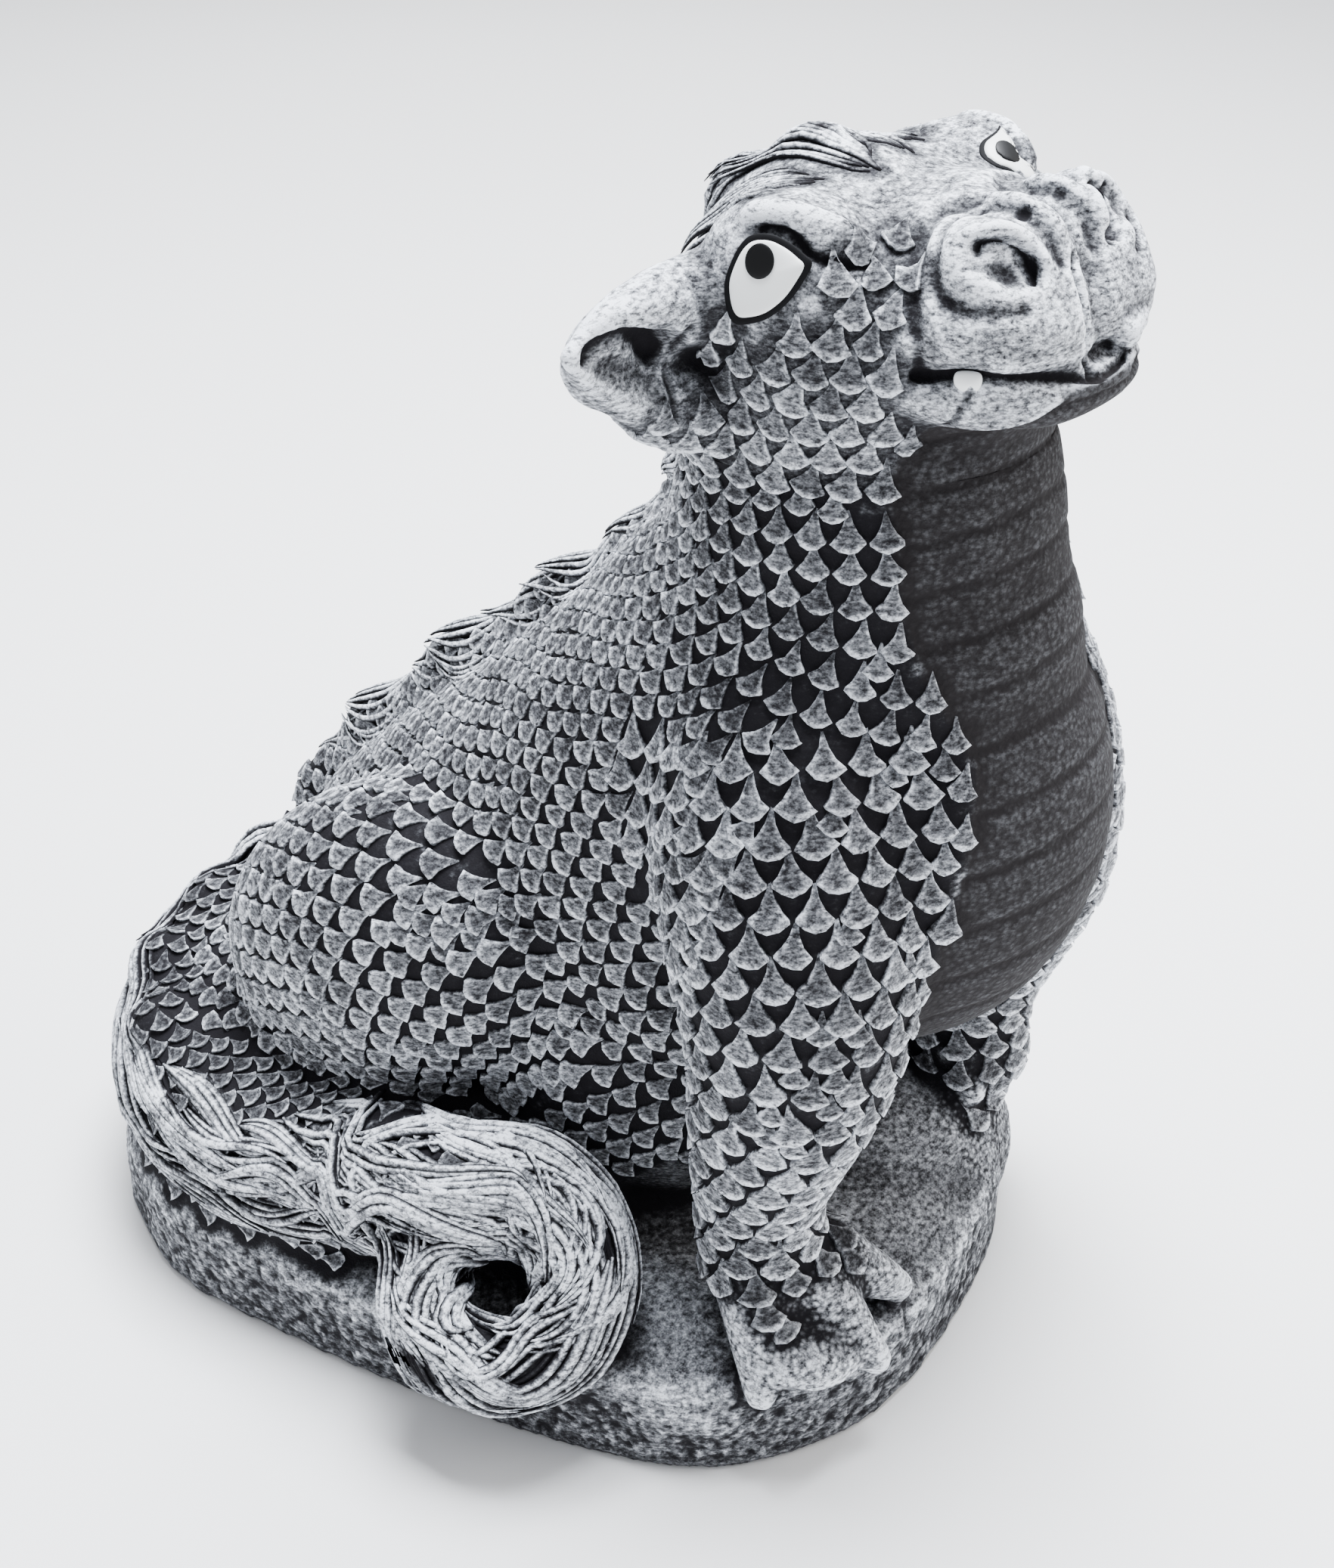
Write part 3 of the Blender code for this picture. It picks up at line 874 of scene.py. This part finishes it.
def gap_places(mesh, least, keep, draw):
    """Places on a skin that lie far from every scale, each pointing as its neighbours do."""
    found = []
    spots, pointing = list(taken), list(ways)
    for index in draw.permutation(len(mesh.vertices))[:SPOTS_TRIED]:
        place = drawn(mesh.vertices[index].co)
        if not keep(place):
            continue
        gaps = np.linalg.norm(np.array(spots) - place, axis=1)
        if gaps.min() > least:
            forward = unit(np.mean([pointing[i] for i in gaps.argsort()[:4]], axis=0))
            found.append((place, forward))
            spots.append(place)
            pointing.append(forward)
    return found


cheek_scales = stamp("cheek_scales", cheek_places, 10.6, 10.4, 1.6, 0.95, 2)
haunch_scales = stamp("haunch_scales", haunch_places, 10.2, 9.8, 2.3, 1.05, 3)
leg_scales = stamp("leg_scales", leg_places, 11.6, 11.4, 2.6, 1.0, 5)
trunk_scales = stamp("trunk_scales", trunk_places, 9.3, 9.0, 2.0, 0.95, 7)
tail_scales = stamp("tail_scales", tail_places, 8.6, 8.2, 1.8, 0.95, 9)

# %% Loose scales on the crown, and odd ones in the gaps
CROWN_SPOTS = [
    (-36, -52, 386), (-31, -58, 389), (-41, -60, 386), (-26, -51, 387), (36, -52, 386), (30, -60, 389),
    (12, -64, 394),
]
crown_way = np.array((-0.3, 0.6, -0.5))
crown_places = [(np.array(spot), crown_way * (1 if spot[0] < 0 else (-1, 1, 1))) for spot in CROWN_SPOTS]
crown_scales = stamp("crown_scales", crown_places, 8.6, 7.0, 1.4, 0.95, 4)
fill = np.random.default_rng(21)
odd_places = gap_places(trunk_skin.data, 6.9, lambda p: scaled(p) and p[2] > 76, fill)
odd_places += gap_places(head_skin.data, 6.9, lambda p: scaled(p) and p[2] < 334 and p[1] < -4, fill)
odd_places += gap_places(
    base_skin.data, 7.4,
    lambda p: p[2] > 40 and p[1] > -50 and p[0] > -30 and rock_share(np.array([p]))[0] < 0.1, fill,
)
odd_scales = stamp("odd_scales", odd_places, 9.0, 8.8, 1.9, 0.95, 12)

# %% [markdown]
# ## Hair
#
# The mane, the tufts on the crown and the rope of the tail are locks of strands, laid side by side
# on the figure and pressed into it. A strand is a curve with a round bevel, whose radius swells and
# then thins to a point. Its points are found with rays from a line inside the figure, so it lies on
# the skin wherever it goes, and its tip may lift a little.

# %% Points on the skin around a line


class Limb:
    """A line through the middle of a part of the figure, and the skin around it."""

    def __init__(self, spine, back):
        self.line, self.gone = measured(spine)
        self.length = self.gone[-1]
        self.back = back

    def middle(self, distance):
        return point_at(self.line, self.gone, distance)

    def skin(self, distance, degrees):
        """Where the skin lies at that distance and turn from the back, or None."""
        centre = self.middle(distance)
        forward = unit(self.middle(distance + 5) - self.middle(distance - 5))
        back = np.array(self.back(distance) if callable(self.back) else self.back, float)
        back = unit(back - forward * np.dot(back, forward))
        turn = math.radians(degrees)
        way = math.cos(turn) * back + math.sin(turn) * np.cross(forward, back)
        spot, _, _, _ = surface.ray_cast(Vector(real(centre)), Vector(way), 0.13)
        return None if spot is None else drawn(spot)

    def nearest(self, place):
        """The distance along the line where the skin at its back lies nearest to a place."""
        tries = np.arange(0, self.length, 2.0)
        spots = [self.skin(distance, 0) for distance in tries]
        gaps = [math.inf if spot is None else np.linalg.norm(spot - place) for spot in spots]
        return tries[int(np.argmin(gaps))]


# %% One strand
# A strand that would jump further than this between two of its points is left out.
LONGEST_JUMP = 25


def new_hair(name):
    """An empty curve with a round bevel, for many strands."""
    curve = bpy.data.curves.new(name, "CURVE")
    curve.dimensions = "3D"
    curve.bevel_depth = 1
    curve.bevel_resolution = 1
    curve.use_fill_caps = True
    return curve


def add_strand(curve, path, thick, lift=0.0, sink=0.25):
    """A strand along drawn skin points: thick in its middle, pointed at its tip."""
    if any(spot is None for spot in path):
        return
    if max(np.linalg.norm(np.diff(path, axis=0), axis=1)) > LONGEST_JUMP:
        return
    path = smooth_line(path, 2)
    spline = curve.splines.new("POLY")
    spline.points.add(len(path) - 1)
    for knot, spot, t in zip(spline.points, path, np.linspace(0, 1, len(path))):
        foot, out, _, _ = surface.find_nearest(Vector(real(spot)))
        radius = thick * (0.12 + 0.88 * math.sin(math.pi * min(1, t * 0.97 + 0.03) ** 0.8) ** 0.7)
        knot.co = (*(foot + out * ((lift * t**2 - sink * thick + 0.25) * MM)), 1)
        knot.radius = radius * MM


def finish_hair(name, curve, full):
    """The strands as one mesh, brightest where they face outwards and stand full mm out of the skin, and
    painted lighter on the faces that look up, as if lit from above.
    """
    holder = bpy.data.objects.new(name, curve)
    bpy.context.scene.collection.objects.link(holder)
    mesh = bpy.data.meshes.new_from_object(holder.evaluated_get(bpy.context.evaluated_depsgraph_get()))
    bpy.data.objects.remove(holder)
    bm = bmesh.new()
    bm.from_mesh(mesh)
    bmesh.ops.remove_doubles(bm, verts=bm.verts, dist=1e-6)
    bmesh.ops.recalc_face_normals(bm, faces=bm.faces)
    for face in bm.faces:
        face.smooth = True
    bpy.data.meshes.remove(mesh)
    obj = new_object(name, bm)
    mesh = obj.data
    set_points(mesh, points_of(mesh))
    normals = normals_of(mesh)
    below = [surface.find_nearest(vert.co) for vert in mesh.vertices]
    facing = (normals * np.array([hit[1] for hit in below])).sum(1)
    stands = between(np.array([hit[3] for hit in below]) / MM, 0.2 * full, full)
    patchy = 0.85 + 0.4 * rough(drawn(points_of(mesh)), 7, 1)
    # Painted light from above: the faces of the strands that look up get more of the pale paint.
    mark_brush_and_light(mesh, 1.15 * stands * patchy * between(facing, 0.3, 1.0) * (0.85 + 0.25 * normals[:, 2]))
    print(name, len(mesh.polygons), "faces")
    return obj


# %% Mane
# The places of the tufts down the back.
CREST = [
    (0, -14, 326), (0, -6, 300), (0, 8, 272), (0, 24, 250), (0, 56, 227), (0, 78, 210), (0, 99, 192),
    (0, 121, 172), (0, 143, 150), (-3, 170, 114),
]
# Each tuft's place, how far round from the middle it lies in degrees, and how long it is.
CROWN = [
    ((-8, -50, 389), -13, 24), ((-20, -42, 381), -33, 22), ((8, -50, 389), 13, 24), ((20, -42, 381), 33, 22),
    ((0, -34, 379), 0, 26), ((0, -18, 362), 0, 26), ((0, -12, 345), 0, 30),
]
trunk_limb = Limb(TRUNK_SPINE, (0, 1.0, 0.6))
head_limb = Limb([(0, -84, 352), (0, -62, 350), (0, -48, 338), (0, -46, 310), (0, -46, 286)], (0, 0.6, 0.8))


def add_tuft(curve, limb, place, long, wide, thick, strands, lift, draw, lead, bend, aside=0.0):
    """A lock like a flame: it fans out from its root, closes again and lifts at its tip."""
    middle = limb.nearest(np.array(place))
    for u in np.linspace(-1, 1, strands):
        start = middle - long * lead + draw.normal(0, 1.5) + 3 * u * u
        reach = long * (1 - 0.22 * u * u + draw.normal(0, 0.04))
        path = []
        for t in np.linspace(0, 1, 8):
            turn = aside + u * wide * (0.35 + 0.75 * math.sin(math.pi * t**0.75)) + bend * math.sin(2.6 * t)
            path.append(limb.skin(start + reach * t, turn))
        add_strand(curve, path, thick * (1 - 0.25 * u * u), lift * (1 - 0.6 * u * u))


draw = np.random.default_rng(11)
mane_curve = new_hair("mane")
for number, place in enumerate(CREST):
    bend = 4 * (-1) ** number
    add_tuft(mane_curve, trunk_limb, place, 64, 13, 1.5, 13, 4.0, draw, 0.45, bend)
    for side in (1, -1):
        middle = trunk_limb.nearest(np.array(place))
        for wisp in range(5):
            start, turn = middle - 24 + 7 * wisp, side * (9 + draw.normal(0, 1))
            path = [trunk_limb.skin(start + 30 * t, turn + side * 11 * t**1.3) for t in np.linspace(0, 1, 7)]
            add_strand(mane_curve, path, 1.2)
for number, (place, aside, long) in enumerate(CROWN):
    add_tuft(mane_curve, head_limb, place, long, 12, 1.3, 9, 3.0, draw, 0.5, 8 * (-1) ** number, aside)
mane = finish_hair("mane", mane_curve, 1.3)

# %% [markdown]
# ## The rope of the tail
#
# The hair runs on along the tail, outside its scales, and covers the whole of its curled end. Here
# the strands are spread evenly over the rope, each starting a little further on and round than the
# last, and drift round it as they go, so that the rope looks twisted.

# %% Tail rope
CURL_CENTRE = np.array((-120.0, -25.0, 57.0))
CURL_AXIS = unit((-0.62, -0.35, 0.70))
# How far round the curl, and how far from its middle.
CURL_TURNS = [
    (-30, 30), (10, 28), (50, 27), (90, 27), (130, 27), (170, 27), (210, 27), (250, 26), (290, 23), (325, 18),
    (352, 11),
]
TAIL_LINE = [
    (0, 128, 66), (-36, 156, 60), (-72, 157, 56), (-100, 134, 54), (-114, 104, 53), (-115, 70, 54),
    (-112, 38, 62),
]
curl_up = unit(np.array((0, 0, 1)) - CURL_AXIS[2] * CURL_AXIS)
curl_across = np.cross(curl_up, CURL_AXIS)
curl_line = []
for degrees, reach in CURL_TURNS:
    turn = math.radians(degrees)
    curl_line.append(CURL_CENTRE + reach * (math.cos(turn) * curl_up + math.sin(turn) * curl_across))
tail_limb = Limb([*TAIL_LINE, *curl_line], lambda d: (0, 0, 1.0) if d < 230 else CURL_AXIS)
curl_start = tail_limb.gone[12 * len(TAIL_LINE)]
print("the tail is", round(tail_limb.length), "mm long, and curls from", round(curl_start))


# Each lock's start is this share of the rope on from the last one's, which never repeats.
GOLDEN = 0.618034


def add_rope(curve, limb, first, last, low, high, count, long, thick, drift, draw, half):
    """Locks spread evenly over part of a limb. Each is six strands that sway together."""
    for i in range(count):
        start = first + (last - first - long * 0.8) * ((i * GOLDEN) % 1)
        turn = low + (high - low) * ((i + 0.5) / count) + draw.normal(0, 3)
        sway, late, sink = draw.normal(0, 0.9 * half), draw.uniform(0, 3), draw.uniform(-0.6, 0.6)
        for u in np.linspace(-1, 1, 6):
            begin = start + draw.normal(0, 2) + 3 * u * u
            path = []
            for t in np.linspace(0, 1, 10):
                fan = u * half * (0.45 + 0.7 * math.sin(math.pi * t**0.8)) * (1 - 0.5 * t**3)
                spot_turn = turn + drift * t + sway * math.sin(5.5 * t + late) + fan
                path.append(limb.skin(min(begin + long * t, limb.length - 2), spot_turn))
            girth, inner = thick * (1.3 - 0.6 * u * u + draw.normal(0, 0.12)), 1 - u * u
            add_strand(curve, path, girth, 1.5 * inner, sink - 0.8 * inner)


rope_curve = new_hair("tail_rope")
add_rope(rope_curve, tail_limb, 32, curl_start - 8, 34, 110, 28, 56, 1.35, 10, draw, 10)
add_rope(rope_curve, tail_limb, curl_start - 62, curl_start + 56, -85, 95, 24, 60, 1.4, 26, draw, 15)
add_rope(rope_curve, tail_limb, curl_start - 4, tail_limb.length, -180, 180, 36, 54, 1.4, 42, draw, 30)
tail_rope = finish_hair("tail_rope", rope_curve, 2.3)

# %% [markdown]
# ## Stain under the scales and the hair
#
# The brush rides on the scales and the strands and never reaches the skin between them, which stays
# almost black. So each skin is marked dark near every scale and every strand.

# %% Dark between the scales
def gaps_to(spots, mesh):
    """How far each point of a mesh lies from the nearest of the spots, in millimetres."""
    tree = KDTree(len(spots))
    for index, spot in enumerate(spots):
        tree.insert(spot, index)
    tree.balance()
    return np.array([tree.find(vert.co)[2] for vert in mesh.vertices]) / MM


scale_spots = [Vector(real(place)) for place in taken]
hair_spots = [vert.co for obj in (mane, tail_rope) for vert in list(obj.data.vertices)[::4]]
for skin, least in ((head_skin, 0.5), (trunk_skin, 0.12), (base_skin, 0.15)):
    mesh = skin.data
    brush_and_light = np.empty(len(mesh.vertices), np.float32)
    mesh.attributes["brush_and_light"].data.foreach_get("value", brush_and_light)
    open_skin = between(gaps_to(scale_spots, mesh), 5.5, 9) * between(gaps_to(hair_spots, mesh), 1.5, 4)
    mark(mesh, "brush_and_light", brush_and_light * (least + (1 - least) * open_skin))
print("places that keep the brush off:", len(scale_spots) + len(hair_spots))

# %% [markdown]
# ## Eyes and teeth
#
# The eyes are enamel paint on the casting, a white almond with a black pupil inside a thin dark
# rim. Each layer is a lens: a sphere whose girth is drawn to the outline of the eye and whose
# bulge is a millimetre or two, lying on the layer below it.

# %% Painted lenses


def lens(name, outline, facing, bulge, sink, lift, finish, grow=1.0, bent=False):
    """A low closed dome with a drawn outline, lying on the head. A bent one follows the skin under it."""
    outline = smooth_line(outline, 4, closed=True)
    centre = outline.mean(0)
    outline = centre + (outline - centre) * grow
    facing = unit(facing)
    bm = bmesh.new()
    bmesh.ops.create_uvsphere(bm, u_segments=len(outline), v_segments=14, radius=1)
    for vert in bm.verts:
        girth = math.hypot(vert.co.x, vert.co.y)
        turn = (math.atan2(vert.co.y, vert.co.x) / math.tau * len(outline)) % len(outline)
        low = int(turn)
        after = outline[(low + 1) % len(outline)]
        edge = outline[low % len(outline)] * (1 - turn + low) + after * (turn - low)
        height = vert.co.z * (bulge if vert.co.z > 0 else sink) + lift
        flat = centre + (edge - centre) * girth
        if bent:
            foot, out, _, _ = surface.find_nearest(Vector(real(flat + 4 * facing * (1 - girth))))
            vert.co = foot + out * (height * MM)
        else:
            vert.co = real(flat + facing * height)
    bmesh.ops.recalc_face_normals(bm, faces=bm.faces)
    # On so flat a shape that can choose the wrong side, which the sign of its volume tells.
    if bm.calc_volume(signed=True) < 0:
        bmesh.ops.reverse_faces(bm, faces=bm.faces)
    for face in bm.faces:
        face.smooth = True
    obj = new_object(name, bm)
    obj.data.materials.append(finish)
    return obj


def oval(centre, facing, wide, high, count=12):
    """An oval outline around a centre, square to a direction."""
    facing = unit(facing)
    across = unit(np.cross((0, 0, 1), facing))
    up = np.cross(facing, across)
    turns = np.linspace(0, math.tau, count, endpoint=False)
    return [np.array(centre) + wide * math.cos(t) * across + high * math.sin(t) * up for t in turns]


eye_white, _, _ = new_finish("eye_white_enamel", "#f6f8f6", 0.35)
eye_black, _, _ = new_finish("eye_black_enamel", "#050506", 0.45, Specular_IOR_Level=0.2)
rim_stain, _, _ = new_finish("eye_rim_stain", "#0c0c0e", 0.7, Specular_IOR_Level=0.1)
# The left eye starts on the front of its brow, where the picture shows it, and goes on round the side.
FAR_EYE = [
    (34.4, -80.7, 385.5), (38.0, -80.8, 386.6), (43.0, -80.0, 385.0), (47.5, -79.5, 381.5),
    (49.5, -80.5, 377.0), (48.0, -83.5, 373.0), (44.5, -87.5, 371.8), (40.5, -90.8, 373.2),
    (37.5, -92.6, 375.6), (35.0, -91.8, 376.0), (32.1, -88.7, 376.6), (30.1, -85.9, 377.8),
    (30.5, -83.5, 380.4), (32.0, -81.6, 383.1),
]
# For each eye: its outline, the way it faces, its pupil's middle, and the pupil's half width and height.
EYES = {
    "right": (EYE, (-0.93, -0.22, 0.28), (-58.6, -73, 376.7), 3.8, 4.3),
    "left": (FAR_EYE, (-0.36, -0.58, 0.73), (36.3, -85.8, 382.2), 3.4, 3.9),
}
painted = []
for word, (outline, facing, pupil_place, wide, high) in EYES.items():
    bent = word == "left"
    rim = lens(f"eye_rim_{word}", outline, facing, 0.9, 3.5, 0.15, rim_stain, 1.16, bent)
    white = lens(f"eye_white_{word}", outline, facing, 1.5, 3.0, 0.5, eye_white, 0.99, bent)
    around = oval(pupil_place, facing, wide, high)
    pupil = lens(f"pupil_{word}", around, facing, 0.5, 1.5, 1.9 if bent else 1.6, eye_black, 1.0, bent)
    painted += [rim, white, pupil]

# %% Teeth
TOOTH = [
    (-41.2, -119.4, 353.8), (-38.8, -124, 354), (-38.4, -125, 351.8), (-38.8, -124, 349.2),
    (-39.6, -122.4, 350.4), (-40.4, -121, 348.8), (-41.6, -119, 350.8),
]
for word, side in (("right", 1), ("left", -1)):
    corners = [(MUZZLE_MIDDLE + side * (x - MUZZLE_MIDDLE), y, z) for x, y, z in TOOTH]
    tooth = lens(f"tooth_{word}", corners, (-0.8 * side, -0.55, 0.15), 1.8, 3.0, 0.3, eye_white)
    painted.append(tooth)
print("painted layers and teeth:", len(painted))

# %% [markdown]
# ## The cast stone
#
# Cast stone is fine concrete: a matt grey with sand grains in it. This one is stained charcoal and
# dry-brushed a cool off-white, so one finish mixes the two by the attribute of pale paint, which also
# carries painted light from above, broken up by a noise of the size of brush marks and by a grain of
# about half a millimetre.

# %% Dry-brushed stone
STAIN = "#19181b"
DRY_BRUSH = "#eff3fa"
BELLY = "#222021"
# The cells of the fine net on the feet and the belly, and the sand grains, in millimetres.
NET_MM, SAND_MM = 1.9, 0.6
# Brush marks of about 1.1 mm and patches of about 22 mm, as noise cells in a metre.
STREAKS, PATCHES = 900.0, 45.0


def dry_brushed(name):
    """The stained and dry-brushed finish."""
    material, tree, shader = new_finish(name, STAIN, 0.85, Specular_IOR_Level=0.08)
    place = add(tree, "TexCoord").outputs["Object"]
    # The first attribute holds the pale paint's share, from brush wear and painted light from above together.
    brush_and_light, belly, net = (
        add(tree, "Attribute", {"attribute_name": word}).outputs["Fac"] for word in ("brush_and_light", "belly", "net")
    )
    # The net: below 0 in the middle of a cell and above it towards its edges.
    cells = add(tree, "TexVoronoi", {"Scale": 1 / (NET_MM * MM)}, {"Vector": place})
    raised = add(tree, "Math", {"operation": "SUBTRACT", 1: 0.55}, {0: cells})
    meshes = add(tree, "Math", {"operation": "MULTIPLY"}, {0: raised, 1: net})
    # Streaks, patches and sand together say where the brush skips.
    along = add(tree, "Mapping", {"Scale": (0.5, 0.5, 1.0)}, {"Vector": place})
    streak = add(tree, "TexNoise", {"Scale": STREAKS, "Detail": 6.0, "Roughness": 0.7}, {"Vector": along})
    patch = add(tree, "TexNoise", {"Scale": PATCHES, "Detail": 3.0}, {"Vector": place})
    sand = add(tree, "TexNoise", {"Scale": 1 / (SAND_MM * MM), "Detail": 3.0}, {"Vector": place})
    broken = add(tree, "Math", {"operation": "MULTIPLY_ADD", 1: 3.2, 2: -1.6}, {0: streak})
    patched = add(tree, "Math", {"operation": "MULTIPLY_ADD", 1: 0.5}, {0: patch, 2: broken})
    grained = add(tree, "Math", {"operation": "MULTIPLY_ADD", 1: 0.7}, {0: sand, 2: patched})
    shifted = add(tree, "Math", {"operation": "SUBTRACT", 1: 0.6}, {0: grained})
    reach = add(tree, "Math", {"operation": "ADD", 1: 0.12}, {0: brush_and_light})
    swing = add(tree, "Math", {"operation": "MULTIPLY"}, {0: shifted, 1: reach})
    caught = add(tree, "Math", {"operation": "ADD"}, {0: brush_and_light, 1: swing})
    netted = add(tree, "Math", {"operation": "MULTIPLY_ADD", 1: -0.7}, {0: meshes, 2: caught})
    even = add(tree, "MapRange", {"From Min": 0.04, "From Max": 1.0}, {"Value": netted})
    # The power keeps the half-brushed places dark. The belly takes almost no paint.
    amount = add(tree, "Math", {"operation": "POWER", 1: 2.3}, {0: even})
    off_belly_share = add(tree, "Math", {"operation": "MULTIPLY_ADD", 1: -0.93, 2: 1.0}, {0: belly})
    final = add(tree, "Math", {"operation": "MULTIPLY"}, {0: amount, 1: off_belly_share})
    ground = add(tree, "Mix", {"data_type": "RGBA"}, {0: belly})
    ground.inputs[6].default_value = linear(STAIN)
    ground.inputs[7].default_value = linear(BELLY)
    colour = add(tree, "Mix", {"data_type": "RGBA"}, {0: final, 6: ground.outputs[2]})
    colour.inputs[7].default_value = linear(DRY_BRUSH)
    tree.links.new(colour.outputs[2], shader.inputs["Base Color"])
    relief = add(tree, "Math", {"operation": "MULTIPLY_ADD", 1: -1.6}, {0: meshes, 2: sand})
    bump = add(tree, "Bump", {"Strength": 0.5, "Distance": 0.0005}, {"Height": relief})
    tree.links.new(bump.outputs["Normal"], shader.inputs["Normal"])
    return material


stone = dry_brushed("dry_brushed_cast_stone")
pieces = [
    head_skin, trunk_skin, base_skin, crown_scales, cheek_scales, haunch_scales, leg_scales, trunk_scales,
    tail_scales, odd_scales, mane, tail_rope,
]
for piece in pieces:
    piece.data.materials.clear()
    piece.data.materials.append(stone)
print("nodes in the finish:", len(stone.node_tree.nodes))

# %% [markdown]
# ## Everything rides on the one body
#
# The statue has no joints. The skins, scales, hair and paint all ride on its single body, and
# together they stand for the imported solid.

# %% Ride and finish
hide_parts("dragon")
for piece in pieces + painted:
    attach(piece, "root")
print("packed box:", cad_box)
